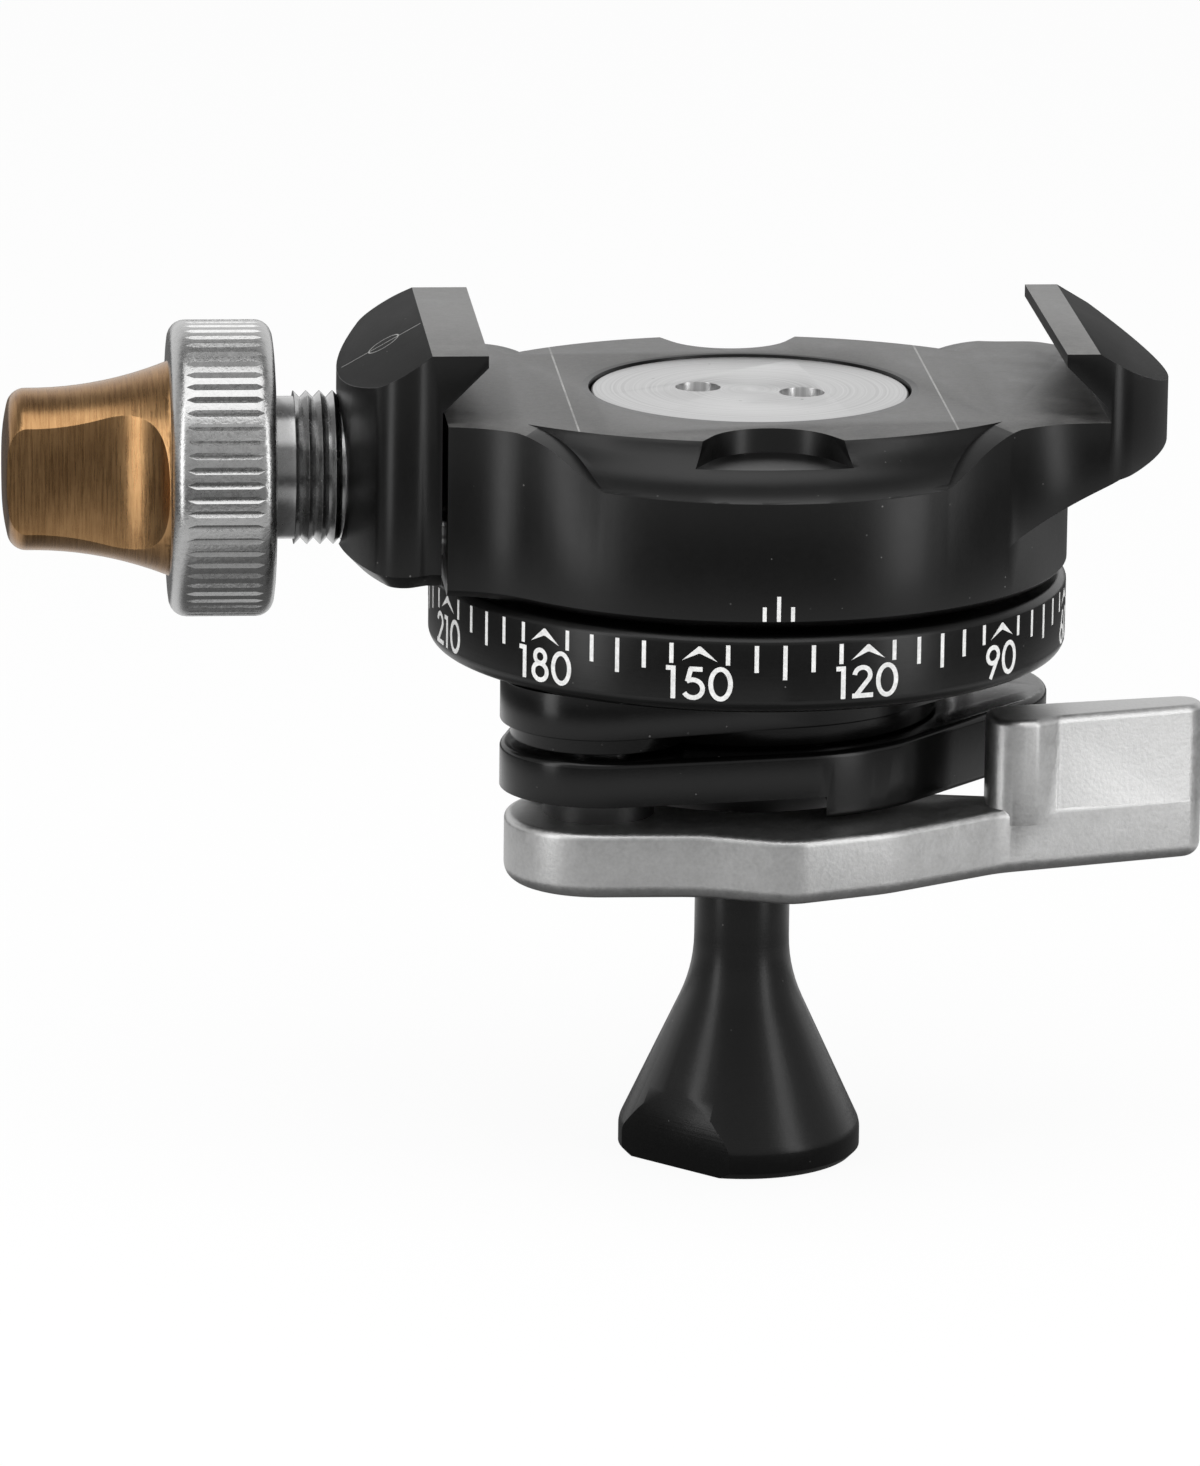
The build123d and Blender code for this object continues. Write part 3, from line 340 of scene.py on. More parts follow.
# %% Blasted silver, for the lever and the wheel
def blasted_silver(name, shade, roughness, size):
    """Bead-blasted clear anodised aluminium."""
    material, tree, shader, position = new_material(name, (shade, shade, shade), 1.0, roughness)
    fine = place(tree, grain, position, Grain_Size_mm=size)
    cloud_node = place(tree, clouds, position, Cloud_Size_mm=5.0, Contrast=0.8)
    tone = calc(tree, "MULTIPLY_ADD", fine.outputs["Value"], 0.16, shade - 0.08)
    tone = calc(tree, "MULTIPLY_ADD", cloud_node.outputs[0], 0.06, calc(tree, "SUBTRACT", tone, 0.03))
    colour = ramp(tree, tone, ((0.0, BLACK), (1.0, (1.0, 1.0, 0.995))))
    link(tree, colour, shader.inputs["Base Color"])
    rough = calc(tree, "MULTIPLY_ADD", fine.outputs["Value"], 0.12, roughness - 0.06)
    link(tree, rough, shader.inputs["Roughness"])
    bump(tree, shader, fine.outputs["Height"], 0.02)
    return material


lever_silver = blasted_silver("blasted_silver", 0.53, 0.40, 0.22)
wheel_silver = blasted_silver("satin_silver", 0.45, 0.28, 0.15)

# %% Bronze, brushed round the grip
bronze, tree, shader, position = new_material("brushed_bronze", (0.30, 0.17, 0.065), 1.0, 0.38)
stretch = node(tree, "ShaderNodeMapping")
stretch.inputs["Scale"].default_value = (1.0, 0.05, 0.05)
link(tree, position, stretch.inputs["Vector"])
hairs = node(tree, "ShaderNodeTexNoise")
hairs.inputs["Scale"].default_value = 7000.0
hairs.inputs["Detail"].default_value = 5.0
hairs.inputs["Roughness"].default_value = 0.7
link(tree, stretch.outputs[0], hairs.inputs["Vector"])
cloud_node = place(tree, clouds, position, Cloud_Size_mm=3.5, Contrast=1.0)
tone = calc(tree, "MULTIPLY_ADD", hairs.outputs[0], 0.6, calc(tree, "MULTIPLY", cloud_node.outputs[0], 0.4))
DARK_BRONZE = (0.17, 0.083, 0.032)
LIGHT_BRONZE = (0.50, 0.30, 0.14)
colour = ramp(tree, tone, ((0.28, DARK_BRONZE), (0.72, LIGHT_BRONZE)))
link(tree, colour, shader.inputs["Base Color"])
link(tree, calc(tree, "MULTIPLY_ADD", hairs.outputs[0], 0.2, 0.18), shader.inputs["Roughness"])
bump(tree, shader, hairs.outputs[0], 0.008)
print("bronze ready")

# %% Turned aluminium for the pan cap, and bright steel for the screw
turned_silver, tree, shader, position = new_material("turned_aluminium", (0.55, 0.55, 0.56), 1.0, 0.3)
turned = place(tree, turning, position, Face=1.0, Line_Size_mm=0.22)
speck_node = place(tree, dust, position, Speck_Size_mm=0.9, Amount=0.12)
tone = calc(tree, "MULTIPLY_ADD", turned.outputs["Value"], 0.35, 0.36)
tone = calc(tree, "SUBTRACT", tone, calc(tree, "MULTIPLY", speck_node.outputs[0], 0.5))
colour = ramp(tree, tone, ((0.0, BLACK), (1.0, (1.0, 1.0, 1.0))))
link(tree, colour, shader.inputs["Base Color"])
bump(tree, shader, turned.outputs["Height"], 0.006)
shader.inputs["Anisotropic"].default_value = 0.5

bright_steel, tree, shader, position = new_material("bright_steel", (0.45, 0.45, 0.45), 1.0, 0.2)
fine = place(tree, grain, position, Grain_Size_mm=0.2)
link(tree, calc(tree, "MULTIPLY_ADD", fine.outputs["Value"], 0.2, 0.12), shader.inputs["Roughness"])

dark_plastic, tree, shader, position = new_material("dark_acetal", (0.012, 0.012, 0.012), 0.0, 0.42)
fine = place(tree, grain, position, Grain_Size_mm=0.2)
link(tree, calc(tree, "MULTIPLY_ADD", fine.outputs["Value"], 0.2, 0.32), shader.inputs["Roughness"])

white_paint, tree, shader, position = new_material("white_mark_paint", (0.78, 0.78, 0.77), 0.0, 0.6)
fine = place(tree, grain, position, Grain_Size_mm=0.18)
tone = calc(tree, "MULTIPLY_ADD", fine.outputs["Value"], 0.35, 0.58)
colour = ramp(tree, tone, ((0.0, BLACK), (1.0, (1.0, 1.0, 0.99))))
link(tree, colour, shader.inputs["Base Color"])
print("all finishes ready")


# %% [markdown]
# ## Worn plate top, partly painted sheen
#
# Camera plates slide over the top of the clamp all day. It is flatter and greyer than the sides, with
# clouds of fine rub marks and thin lines where plate edges have sat. Its lighter grey is partly that wear
# and partly painted sheen, a lift in colour for the light the upward faces catch; the jaw strips get a
# little more painted sheen. One material carries both looks: a mask picks out what faces up, at the height
# of the plate seat.

# %% The clamp's own black
PLATE_SEAT_LEVEL = 45.6
JAW_STRIP_LEVEL = 49.0
SCRIBED_FROM_MIDDLE = 10.78
SCRIBED_HALF_WIDTH = 0.055
PAN_CAP_EDGE = 9.75


def add_plate_wear(material):
    """Adds a rubbed, machined top to a black material; its lighter grey is partly wear, partly painted
    sheen.
    """
    tree = material.node_tree
    shader = tree.nodes["Principled BSDF"]
    position = node(tree, "ShaderNodeTexCoord").outputs["Object"]
    split = node(tree, "ShaderNodeSeparateXYZ")
    link(tree, position, split.inputs[0])
    facing = node(tree, "ShaderNodeSeparateXYZ")
    link(tree, node(tree, "ShaderNodeNewGeometry").outputs["True Normal"], facing.inputs[0])
    upward = calc(tree, "GREATER_THAN", facing.outputs[2], 0.9)
    level = calc(tree, "GREATER_THAN", split.outputs[2], PLATE_SEAT_LEVEL * MM)
    top = calc(tree, "MULTIPLY", upward, level)
    rub = place(tree, clouds, position, Cloud_Size_mm=2.4, Contrast=1.6)
    fine = place(tree, grain, position, Grain_Size_mm=0.12)
    # The top's grey: rub clouds and grain are wear, and the lift of the grey as a whole is painted sheen.
    lit = calc(tree, "MULTIPLY_ADD", rub.outputs[0], 0.12, 0.0)
    lit = calc(tree, "MULTIPLY_ADD", fine.outputs["Value"], 0.05, lit)
    offset = calc(tree, "SUBTRACT", calc(tree, "ABSOLUTE", split.outputs[0]), SCRIBED_FROM_MIDDLE * MM)
    scribed = calc(tree, "LESS_THAN", calc(tree, "ABSOLUTE", offset), SCRIBED_HALF_WIDTH * MM)
    lit = calc(tree, "MULTIPLY_ADD", calc(tree, "MULTIPLY", scribed, rub.outputs[0]), 0.34, lit)
    # Painted sheen: the jaw strips are made a little lighter still.
    strip = calc(tree, "GREATER_THAN", split.outputs[2], JAW_STRIP_LEVEL * MM)
    lit = calc(tree, "MULTIPLY_ADD", strip, 0.05, lit)
    # Inside a ring round the pan cap the top keeps the plain black.
    square_x = calc(tree, "MULTIPLY", split.outputs[0], split.outputs[0])
    radius = calc(tree, "SQRT", calc(tree, "MULTIPLY_ADD", split.outputs[1], split.outputs[1], square_x))
    top = calc(tree, "MULTIPLY", top, calc(tree, "GREATER_THAN", radius, PAN_CAP_EDGE * MM))
    colour = ramp(tree, lit, ((0.0, BLACK), (1.0, WARM_WHITE)))
    mix = node(tree, "ShaderNodeMix", data_type="RGBA")
    link(tree, top, mix.inputs["Factor"])
    link(tree, shader.inputs["Base Color"].links[0].from_socket, mix.inputs[6])
    link(tree, colour, mix.inputs[7])
    link(tree, mix.outputs[2], shader.inputs["Base Color"])
    rough = node(tree, "ShaderNodeMix", data_type="FLOAT")
    link(tree, top, rough.inputs["Factor"])
    link(tree, shader.inputs["Roughness"].links[0].from_socket, rough.inputs[2])
    link(tree, calc(tree, "MULTIPLY_ADD", rub.outputs[0], 0.25, 0.3), rough.inputs[3])
    sloping = calc(tree, "MULTIPLY", calc(tree, "GREATER_THAN", facing.outputs[2], 0.8), level)
    sloping = calc(tree, "MULTIPLY", sloping, calc(tree, "SUBTRACT", 1.0, upward))
    dull = calc(tree, "MULTIPLY_ADD", sloping, 0.45, rough.outputs[0])
    link(tree, dull, shader.inputs["Roughness"])


clamp_black = black_anodised("clamp_black_anodised", 0.29)
add_plate_wear(clamp_black)
print("plate wear added")

# %% [markdown]
# ## Index mark on the movable jaw
#
# A fine line crosses the jaw's outer slope, with a small ring on it. Both are engraved so lightly that only
# their colour shows, so they are a mask in the material: a distance to a line, and a distance to a circle,
# measured along the slope.

# %% The engraved line and ring
RING_X, RING_Y, RING_RADIUS = -21.21, 0.09, 0.98
LINE_FROM, LINE_TO = (-23.6, 0.39), (-19.1, -0.22)
SLOPE_STRETCH = 1.166
ENGRAVED_HALF_WIDTH = 0.045


def add_index_mark(material):
    """Engraves the line and the ring into a material's colour."""
    tree = material.node_tree
    shader = tree.nodes["Principled BSDF"]
    split = node(tree, "ShaderNodeSeparateXYZ")
    link(tree, node(tree, "ShaderNodeTexCoord").outputs["Object"], split.inputs[0])
    across = calc(tree, "MULTIPLY", calc(tree, "SUBTRACT", split.outputs[0], RING_X * MM), SLOPE_STRETCH)
    along = calc(tree, "SUBTRACT", split.outputs[1], RING_Y * MM)
    square = calc(tree, "MULTIPLY", across, across)
    radius = calc(tree, "SQRT", calc(tree, "MULTIPLY_ADD", along, along, square))
    from_ring = calc(tree, "ABSOLUTE", calc(tree, "SUBTRACT", radius, RING_RADIUS * MM))
    ring = calc(tree, "LESS_THAN", from_ring, ENGRAVED_HALF_WIDTH * MM)
    slant = (LINE_TO[1] - LINE_FROM[1]) / (LINE_TO[0] - LINE_FROM[0])
    run = calc(tree, "SUBTRACT", split.outputs[0], LINE_FROM[0] * MM)
    line_y = calc(tree, "MULTIPLY_ADD", run, slant, LINE_FROM[1] * MM)
    from_line = calc(tree, "ABSOLUTE", calc(tree, "SUBTRACT", split.outputs[1], line_y))
    line = calc(tree, "LESS_THAN", from_line, ENGRAVED_HALF_WIDTH * MM)
    line = calc(tree, "MULTIPLY", line, calc(tree, "GREATER_THAN", run, 0.0))
    mark = calc(tree, "MAXIMUM", ring, line)
    mark = calc(tree, "MULTIPLY", mark, calc(tree, "LESS_THAN", split.outputs[0], LINE_TO[0] * MM))
    facing = node(tree, "ShaderNodeSeparateXYZ")
    link(tree, node(tree, "ShaderNodeNewGeometry").outputs["True Normal"], facing.inputs[0])
    mark = calc(tree, "MULTIPLY", mark, calc(tree, "GREATER_THAN", facing.outputs[2], 0.7))
    mix = node(tree, "ShaderNodeMix", data_type="RGBA")
    link(tree, calc(tree, "MULTIPLY", mark, 0.8), mix.inputs["Factor"])
    link(tree, shader.inputs["Base Color"].links[0].from_socket, mix.inputs[6])
    mix.inputs[7].default_value = (0.42, 0.42, 0.41, 1.0)
    link(tree, mix.outputs[2], shader.inputs["Base Color"])


add_index_mark(clamp_black)
print("index mark at", RING_X, RING_Y)


# %% [markdown]
# ## The machined bodies
#
# Each visible CAD part gets its bevelled copy and its finish. Hidden parts keep their CAD mesh and only
# get a material, because nobody sees their edges.

# %% Dress the black parts
def finish_with(piece, material):
    """Gives a piece its only material."""
    piece.data.materials.clear()
    piece.data.materials.append(material)


dressed = (
    ("clamp_body", "clamp", clamp_black, "black_anodised", 0.3),
    ("movable_jaw", "jaw", clamp_black, "black_anodised", 0.3),
    ("dial_ring", "housing", turned_black, "black_anodised", 0.12),
    ("housing", "housing", gloss_black, "black_anodised", 0.15),
    ("clamp_plate", "clamp_plate", gloss_black, "black_anodised", 0.12),
    ("foot_stem", "stem", turned_black, "black_anodised", 0.10),
    ("lever", "lever", lever_silver, "silver_anodised", 0.15),
    ("knob_grip", "knob", bronze, "bronze_anodised", 0.2),
    ("clamp_screw", "knob", bright_steel, "bright_steel", 0.03),
    ("pan_cap", "housing", turned_silver, "turned_aluminium", 0.06),
)
pieces = {}
for cad_node, body, material, slot, edge in dressed:
    pieces[cad_node] = dress(cad_node, body, edge)
    finish_with(pieces[cad_node], material)

# %% Finish the parts that keep their CAD mesh
kept = {
    "bright_steel": bright_steel,
    "spring_steel": bright_steel,
    "bearing_plastic": dark_plastic,
    "black_washer": dark_plastic,
    "black_anodised": satin_black,
    "silver_anodised": wheel_silver,
    "bronze_anodised": bronze,
    "turned_aluminium": turned_silver,
}
for row in frame["record"]["subparts"]:
    if row["node"] in pieces:
        continue
    mesh = frame["nodes"][row["node"]].data
    for index in range(len(mesh.materials)):
        mesh.materials[index] = kept[row["material_slot"]]
print("CAD parts with a new finish:", len(frame["nodes"]) - len(pieces))

# %% [markdown]
# ## The fluted wheel
#
# The wheel is a disc with rounded rims. A row of fine V grooves is cut into its edge for grip. A cutter
# that dips in and out leaves each groove with pointed ends. One cutter is made here: a four-sided bar whose
# ends are drawn out to points. Copies of it are turned round the wheel, joined, and cut away in one go.

# %% Model the wheel's disc
wheel_low, wheel_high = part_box("knob_wheel")
WHEEL_OUTER, WHEEL_INNER = wheel_low[0], wheel_high[0]
WHEEL_RADIUS = (wheel_high[1] - wheel_low[1]) / 2
SCREW_HEIGHT = (wheel_low[2] + wheel_high[2]) / 2
FLUTES = 64
bpy.ops.object.select_all(action="DESELECT")
bpy.ops.mesh.primitive_cylinder_add(
    vertices=2 * FLUTES,
    radius=WHEEL_RADIUS,
    depth=WHEEL_INNER - WHEEL_OUTER,
    location=((WHEEL_INNER + WHEEL_OUTER) / 2, 0, SCREW_HEIGHT),
    rotation=(0, pi / 2, 0),
)
wheel = bpy.context.object
wheel.name = "fluted_wheel"
settle(wheel)


def select_faces(piece, test):
    """Selects the faces of a piece whose centre and normal pass a test. Leaves edit mode off."""
    bpy.ops.object.mode_set(mode="EDIT")
    bpy.ops.mesh.select_mode(type="FACE")
    bpy.ops.mesh.select_all(action="DESELECT")
    bpy.ops.object.mode_set(mode="OBJECT")
    count = 0
    for face in piece.data.polygons:
        face.select = test(face.center, face.normal)
        count += face.select
    return count


RIM_ROUND = 1.0
ends = select_faces(wheel, lambda centre, normal: abs(normal.x) > 0.9)
bpy.ops.object.mode_set(mode="EDIT")
bpy.ops.mesh.bevel(offset=RIM_ROUND * MM, segments=6, profile=0.5)
bpy.ops.object.mode_set(mode="OBJECT")
print("disc radius", round(WHEEL_RADIUS / MM, 2), "rims rounded:", ends)

# %% Model one groove's cutter
GROOVE_START, GROOVE_END = -32.85, -28.22
GROOVE_POINT = 0.55
GROOVE_HALF_WIDTH, GROOVE_DEPTH = 0.21, 0.17
middle = (GROOVE_START + GROOVE_END) / 2 * MM
bpy.ops.object.select_all(action="DESELECT")
bpy.ops.mesh.primitive_cylinder_add(
    vertices=4,
    radius=1.0,
    depth=(GROOVE_END - GROOVE_START - 2 * GROOVE_POINT) * MM,
    end_fill_type="TRIFAN",
    location=(0, 0, 0),
    rotation=(0, pi / 2, 0),
)
cutter = bpy.context.object
settle(cutter)
pick(cutter)
bpy.ops.object.mode_set(mode="EDIT")
bpy.ops.mesh.select_mode(type="VERT")
for side in (-1, 1):
    bpy.ops.mesh.select_all(action="DESELECT")
    bpy.ops.object.mode_set(mode="OBJECT")
    for vertex in cutter.data.vertices:
        tip = abs(vertex.co.y) < 0.01 and abs(vertex.co.z) < 0.01
        vertex.select = tip and vertex.co.x * side > 0
    bpy.ops.object.mode_set(mode="EDIT")
    bpy.ops.transform.translate(value=(side * GROOVE_POINT * MM, 0, 0))
bpy.ops.object.mode_set(mode="OBJECT")
cutter.scale = (1, GROOVE_HALF_WIDTH * MM, GROOVE_DEPTH * MM)
cutter.location = (middle, 0, WHEEL_RADIUS)
settle(cutter)
print("cutter corners:", len(cutter.data.vertices))

# %% Turn copies of the cutter round the wheel and cut the grooves
copies = []
for turn in range(FLUTES):
    copy = cutter.copy()
    copy.data = cutter.data.copy()
    bpy.context.scene.collection.objects.link(copy)
    copy.rotation_euler = (2 * pi * turn / FLUTES, 0, 0)
    copy.location = (0, 0, SCREW_HEIGHT)
    copies.append(copy)
bpy.ops.object.select_all(action="DESELECT")
for copy in copies:
    copy.select_set(True)
bpy.context.view_layer.objects.active = copies[0]
bpy.ops.object.transform_apply(location=True, rotation=True, scale=True)
bpy.ops.object.join()
grooves = bpy.context.object
cut = wheel.modifiers.new("grooves", "BOOLEAN")
cut.operation = "DIFFERENCE"
cut.solver = "EXACT"
cut.object = grooves
apply_modifiers(wheel)
for spent in (cutter, grooves):
    bpy.data.objects.remove(spent, do_unlink=True)
bpy.ops.object.select_all(action="DESELECT")
pick(wheel)
bpy.ops.object.shade_smooth_by_angle(angle=radians(20))
finish_with(wheel, wheel_silver)
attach(wheel, "knob")
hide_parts("knob_wheel")
print("wheel", triangles(wheel), "triangles")

# %% [markdown]
# ## Marks on the dial
#
# The dial is engraved and filled with white paint: a stroke every five degrees, and a caret with a number
# every thirty. A text object would need a font file with the right geometric figures, so each figure is
# drawn here from its own centre lines, made of straight strokes and arcs, the way an engraver's pantograph
# template is. A stroke becomes a thin ribbon that is wrapped round the ring and given a little thickness.

# %% Strokes of the figures, in millimetres
STROKE = 0.27


def arc(x, y, rx, ry, first, last, steps=16):
    """Points along part of an ellipse, from one angle to another."""
    points = []
    for step in range(steps + 1):
        angle = radians(first + (last - first) * step / steps)
        points.append((x + rx * cos(angle), y + ry * sin(angle)))
    return points


TOP = 1.76
FIGURES = {
    "0": (1.42, [arc(0.71, 0.94, 0.56, 0.86, 90, 450, 30)]),
    "1": (0.56, [[(0.42, 0.0), (0.42, 1.89)], [(0.0, 1.76), (0.42, 1.76)]]),
    "2": (1.30, [arc(0.62, 1.32, 0.47, 0.45, 175, -38) + [(0.22, 0.14)], [(0.02, 0.14), (1.28, 0.14)]]),
    "3": (1.16, [arc(0.54, 1.38, 0.38, 0.38, 150, -80), arc(0.54, 0.55, 0.47, 0.46, 85, -150)]),
    "4": (1.38, [[(1.0, 0.0), (1.0, 1.85)], [(1.0, 1.75), (0.16, 0.52)], [(0.1, 0.5), (1.36, 0.5)]]),
    "5": (1.34, [[(0.42, TOP), (1.16, TOP)], [(0.50, 1.80), (0.30, 1.02)],
                 arc(0.62, 0.62, 0.56, 0.52, 128, -150)]),
    "6": (1.28, [arc(0.64, 0.56, 0.50, 0.46, 90, 450, 26), [(0.22, 0.78), (0.92, 1.92)]]),
    "7": (1.24, [[(0.04, TOP), (1.2, TOP)], [(1.12, 1.76), (0.40, 0.0)]]),
    "8": (1.32, [arc(0.66, 1.40, 0.38, 0.38, 90, 450, 26), arc(0.66, 0.53, 0.50, 0.48, 90, 450, 26)]),
    "9": (1.28, [arc(0.62, 1.30, 0.48, 0.46, 90, 450, 26), [(1.04, 1.08), (0.42, -0.06)]]),
}


def number_strokes(text, foot):
    """Centre lines of a number, centred about zero, with its foot at a height."""
    gap = 0.14
    widths = [FIGURES[figure][0] + (0.24 if figure == "1" else 0.0) for figure in text]
    x = -(sum(widths) + gap * (len(text) - 1)) / 2
    strokes = []
    for figure, width in zip(text, widths):
        for line in FIGURES[figure][1]:
            strokes.append([(x + px, foot + py) for px, py in line])
        x += width + gap
    return strokes


print("figures:", "".join(sorted(FIGURES)))

# %% Ribbons wrapped round the dial
DIAL_RADIUS = 18.5


def ribbon(line, width, spread=0.2):
    """Left and right edges of a stroke, with extra points so that it can bend round the ring."""
    points = [line[0]]
    for a, b in zip(line, line[1:]):
        length = ((b[0] - a[0]) ** 2 + (b[1] - a[1]) ** 2) ** 0.5
        parts = max(1, int(length / spread))
        for part in range(1, parts + 1):
            share = part / parts
            points.append((a[0] + (b[0] - a[0]) * share, a[1] + (b[1] - a[1]) * share))
    edges = []
    last = len(points) - 1
    closed = all(abs(a - b) < 1e-6 for a, b in zip(points[0], points[last]))
    for index, (x, y) in enumerate(points):
        before = points[max(index - 1, 0)]
        after = points[min(index + 1, last)]
        if closed:
            before = points[index - 1] if index > 0 else points[last - 1]
            after = points[index + 1] if index < last else points[1]
        dx, dy = after[0] - before[0], after[1] - before[1]
        size = (dx * dx + dy * dy) ** 0.5
        nx, ny = -dy / size * width / 2, dx / size * width / 2
        edges.append(((x + nx, y + ny), (x - nx, y - ny)))
    return edges


class MarkSheet:
    """Collects mark faces in flat millimetres, then wraps them round a cylinder."""

    def __init__(self, radius):
        self.radius = radius
        self.points = []
        self.faces = []
        self.lift = 0

    def add(self, quad_edges, turn):
        """Adds a strip of edge pairs, turned about the axis by an angle in degrees."""
        start_at = len(self.points)
        self.lift = (self.lift + 1) % 4
        radius = self.radius + 0.006 + 0.003 * self.lift
        for pair in quad_edges:
            for x, y in pair:
                angle = radians(turn) + x / self.radius
                self.points.append((radius * sin(angle) * MM, -radius * cos(angle) * MM, y * MM))
        for step in range(len(quad_edges) - 1):
            a = start_at + 2 * step
            self.faces.append((a, a + 1, a + 3, a + 2))

    def build(self, name, thickness=0.03):
        """Makes the mesh and gives it a little thickness, into the ring."""
        mesh = bpy.data.meshes.new(name)
        mesh.from_pydata(self.points, [], self.faces)
        piece = bpy.data.objects.new(name, mesh)
        bpy.context.scene.collection.objects.link(piece)
        pick(piece)
        bpy.ops.object.mode_set(mode="EDIT")
        bpy.ops.mesh.select_all(action="SELECT")
        bpy.ops.mesh.normals_make_consistent(inside=False)
        bpy.ops.object.mode_set(mode="OBJECT")
        for face in mesh.polygons:
            outward = face.center.x * face.normal.x + face.center.y * face.normal.y
            if outward < 0:
                face.flip()
        wall = piece.modifiers.new("paint", "SOLIDIFY")
        wall.thickness = thickness * MM
        wall.offset = -1.0
        apply_modifiers(piece)
        return piece


dial = MarkSheet(DIAL_RADIUS)
MARK_TOP = 34.82
LABEL_FOOT = 31.62
CENTRE_OF_150 = -13.65
for step in range(72):
    reading = 5 * step
    turn = CENTRE_OF_150 + 150 - reading
    place_in_label = reading % 30
    if place_in_label == 0:
        apex = MARK_TOP - 0.12
        wing = [((-1.02, apex - 0.86), (-1.0, apex - 0.84)), ((-0.06, apex), (-0.06, apex - 0.42)),
                ((0.06, apex), (0.06, apex - 0.42)), ((1.0, apex - 0.84), (1.02, apex - 0.86))]
        dial.add(wing, turn)
        for line in number_strokes(str(reading), LABEL_FOOT):
            dial.add(ribbon(line, STROKE), turn)
        continue
    length = {5: 1.16, 25: 1.16, 10: 1.56, 20: 1.56, 15: 1.98}[place_in_label]
    dial.add(ribbon([(0, MARK_TOP), (0, MARK_TOP - length)], 0.24), turn)
dial_marks = dial.build("dial_marks")
finish_with(dial_marks, white_paint)
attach(dial_marks, "housing")
print("dial marks", triangles(dial_marks), "triangles")

# %% Index lines on the clamp, above the dial
index = MarkSheet(DIAL_RADIUS)
for turn, height in ((-2.4, 37.05), (0.08, 37.66), (2.55, 37.05)):
    index.add(ribbon([(0, height), (0, 36.22)], 0.22), turn)
index_marks = index.build("index_marks")
finish_with(index_marks, white_paint)
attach(index_marks, "clamp")
print("index marks", triangles(index_marks), "triangles")

# %% [markdown]
# ## Floor, light and camera
#
# Studio light for dark metal is about what the metal reflects. The camera sees a plain white floor and a
# plain white world. What the metal mirrors of them is never brighter than that white, and it is darker in
# places: on the floor under the object and far out, and in the world in front and high up. Black metal then
# stays black. Two tall soft boxes stand close by on the floor, outside the frame, and draw the long
# highlights down the black cylinder. A large one overhead lights the tops.

# %% Floor
bpy.ops.object.select_all(action="DESELECT")
bpy.ops.mesh.primitive_plane_add(size=6.0, location=(0, 0, -0.02 * MM))
floor = bpy.context.object
floor.name = "studio_floor"
floor_paper = bpy.data.materials.new("floor_paper")
floor_paper.use_nodes = True
tree = floor_paper.node_tree
paper = tree.nodes["Principled BSDF"]
paper.inputs["Base Color"].default_value = (0.9, 0.9, 0.9, 1.0)
paper.inputs["Roughness"].default_value = 0.9
paper.inputs["Specular IOR Level"].default_value = 0.0
SHADOW_SHARE = 0.07
glow = node(tree, "ShaderNodeEmission")
glow.inputs["Color"].default_value = (1.0, 1.0, 1.0, 1.0)
rays = node(tree, "ShaderNodeLightPath")
spot = node(tree, "ShaderNodeSeparateXYZ")
link(tree, node(tree, "ShaderNodeTexCoord").outputs["Object"], spot.inputs[0])
square_x = calc(tree, "MULTIPLY", spot.outputs[0], spot.outputs[0])
reach = calc(tree, "SQRT", calc(tree, "MULTIPLY_ADD", spot.outputs[1], spot.outputs[1], square_x))


def fade(tree, value, start, finish, low, high):
    """A smooth step of a value, from low at start to high at finish."""
    item = node(tree, "ShaderNodeMapRange", interpolation_type="SMOOTHSTEP")
    link(tree, value, item.inputs["Value"])
    for label, number in (("From Min", start), ("From Max", finish), ("To Min", low), ("To Max", high)):
        item.inputs[label].default_value = number
    return item.outputs["Result"]


PALE_RING_STARTS, PALE_RING_ENDS = (42, 64), (92, 140)
UNDER_THE_PART, PALE_RING, FAR_OUT = 0.12, 0.9, 0.1
rise, fall = PALE_RING_STARTS, PALE_RING_ENDS
near_ring = fade(tree, reach, rise[0] * MM, rise[1] * MM, UNDER_THE_PART, PALE_RING)
far_ring = fade(tree, reach, fall[0] * MM, fall[1] * MM, PALE_RING, FAR_OUT)
mirror_glow = calc(tree, "MINIMUM", near_ring, far_ring)
mirrored = calc(tree, "MAXIMUM", rays.outputs["Is Glossy Ray"], rays.outputs["Is Transmission Ray"])
unseen = calc(tree, "SUBTRACT", 1.0, rays.outputs["Is Camera Ray"])
strength = calc(tree, "MULTIPLY_ADD", mirror_glow, unseen, rays.outputs["Is Camera Ray"])
link(tree, strength, glow.inputs["Strength"])
seen = calc(tree, "MAXIMUM", rays.outputs["Is Camera Ray"], mirrored)
blend = node(tree, "ShaderNodeMixShader")
link(tree, calc(tree, "MULTIPLY", seen, 1.0 - SHADOW_SHARE), blend.inputs[0])
link(tree, paper.outputs[0], blend.inputs[1])
link(tree, glow.outputs[0], blend.inputs[2])
link(tree, blend.outputs[0], tree.nodes["Material Output"].inputs["Surface"])
floor.data.materials.append(floor_paper)

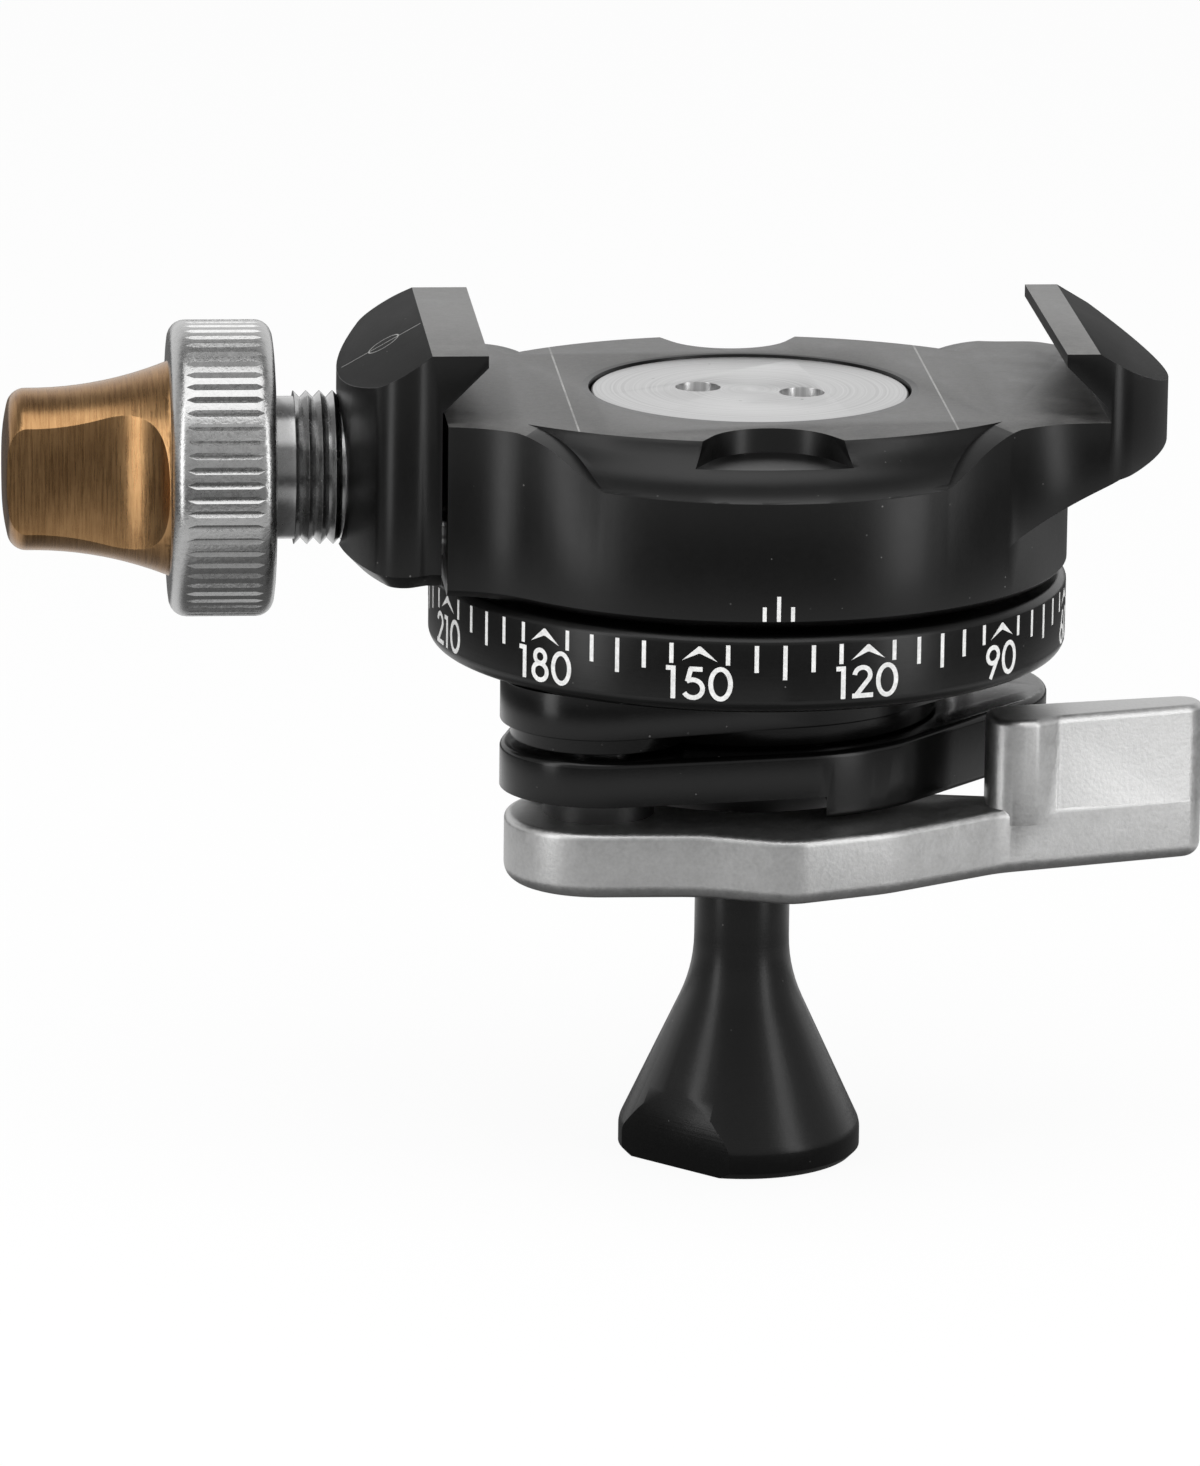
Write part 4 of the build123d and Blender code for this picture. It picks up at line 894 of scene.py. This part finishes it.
# %% World
world = bpy.data.worlds.new("studio")
bpy.context.scene.world = world
world.use_nodes = True
tree = world.node_tree
tree.nodes.clear()
rays = node(tree, "ShaderNodeLightPath")
seen = calc(tree, "MAXIMUM", rays.outputs["Is Camera Ray"], rays.outputs["Is Glossy Ray"])
seen = calc(tree, "MAXIMUM", seen, rays.outputs["Is Transmission Ray"])
white = node(tree, "ShaderNodeBackground")
white.inputs["Color"].default_value = (1.0, 1.0, 1.0, 1.0)
heading = node(tree, "ShaderNodeSeparateXYZ")
link(tree, node(tree, "ShaderNodeTexCoord").outputs["Generated"], heading.inputs[0])
FRONT_OF_ROOM, CEILING = 0.55, 0.3
room = fade(tree, heading.outputs[1], 0.2, 0.6, FRONT_OF_ROOM, 1.0)
ceiling = fade(tree, heading.outputs[2], 0.55, 0.85, 1.0, CEILING)
mirrored = calc(tree, "MULTIPLY", room, ceiling)
link(tree, calc(tree, "MAXIMUM", rays.outputs["Is Camera Ray"], mirrored), white.inputs["Strength"])
fill = node(tree, "ShaderNodeBackground")
fill.inputs["Color"].default_value = (1.0, 1.0, 1.0, 1.0)
fill.inputs["Strength"].default_value = 0.6
blend = node(tree, "ShaderNodeMixShader")
link(tree, seen, blend.inputs[0])
link(tree, fill.outputs[0], blend.inputs[1])
link(tree, white.outputs[0], blend.inputs[2])
link(tree, blend.outputs[0], node(tree, "ShaderNodeOutputWorld").inputs["Surface"])


# %% Soft boxes
def soft_box(name, place_mm, aim_mm, size_mm, power):
    """An area light that faces a point."""
    lamp = bpy.data.lights.new(name, "AREA")
    lamp.shape = "RECTANGLE"
    lamp.size = size_mm[0] * MM
    lamp.size_y = size_mm[1] * MM
    lamp.energy = power
    light = bpy.data.objects.new(name, lamp)
    bpy.context.scene.collection.objects.link(light)
    light.location = Vector(place_mm) * MM
    direction = (Vector(aim_mm) - Vector(place_mm)).normalized()
    light.rotation_euler = direction.to_track_quat("-Z", "Y").to_euler()
    return light


STRIP_SIZE, STRIP_HEIGHT, STRIP_WATTS = (34, 238), 120, 0.08
for side, x, y in (("left", -121, -70), ("right", 106, -92)):
    soft_box("strip_" + side, (x, y, STRIP_HEIGHT), (0, 0, STRIP_HEIGHT), STRIP_SIZE, STRIP_WATTS)
soft_box("overhead", (-20, -120, 470), (-10, 0, 35), (420, 400), 1.06)
print("soft boxes: 3")

# %% Camera
AZIMUTH = radians(-4.6908)
ELEVATION = radians(14.1348)
ROLL = radians(0.665)
away = Vector((sin(AZIMUTH) * cos(ELEVATION), -cos(AZIMUTH) * cos(ELEVATION), sin(ELEVATION)))
level = Vector((cos(AZIMUTH), sin(AZIMUTH), 0))
upright = away.cross(level)
across = level * cos(ROLL) + upright * sin(ROLL)
upward = upright * cos(ROLL) - level * sin(ROLL)
camera_data = bpy.data.cameras.new("camera")
camera_data.lens = 237.39
camera_data.sensor_width = 36.0
camera_data.clip_start = 0.01
camera_data.clip_end = 20.0
camera = bpy.data.objects.new("camera", camera_data)
bpy.context.scene.collection.objects.link(camera)
turned_view = Matrix((across, upward, away)).transposed().to_4x4()
CAMERA_PLACE = Vector((-53.09, -543.94, 162.63))
camera.matrix_world = Matrix.Translation(CAMERA_PLACE * MM) @ turned_view
bpy.context.scene.camera = camera
bpy.context.scene.view_settings.view_transform = "Standard"
print("camera at", [round(c, 4) for c in camera.location])
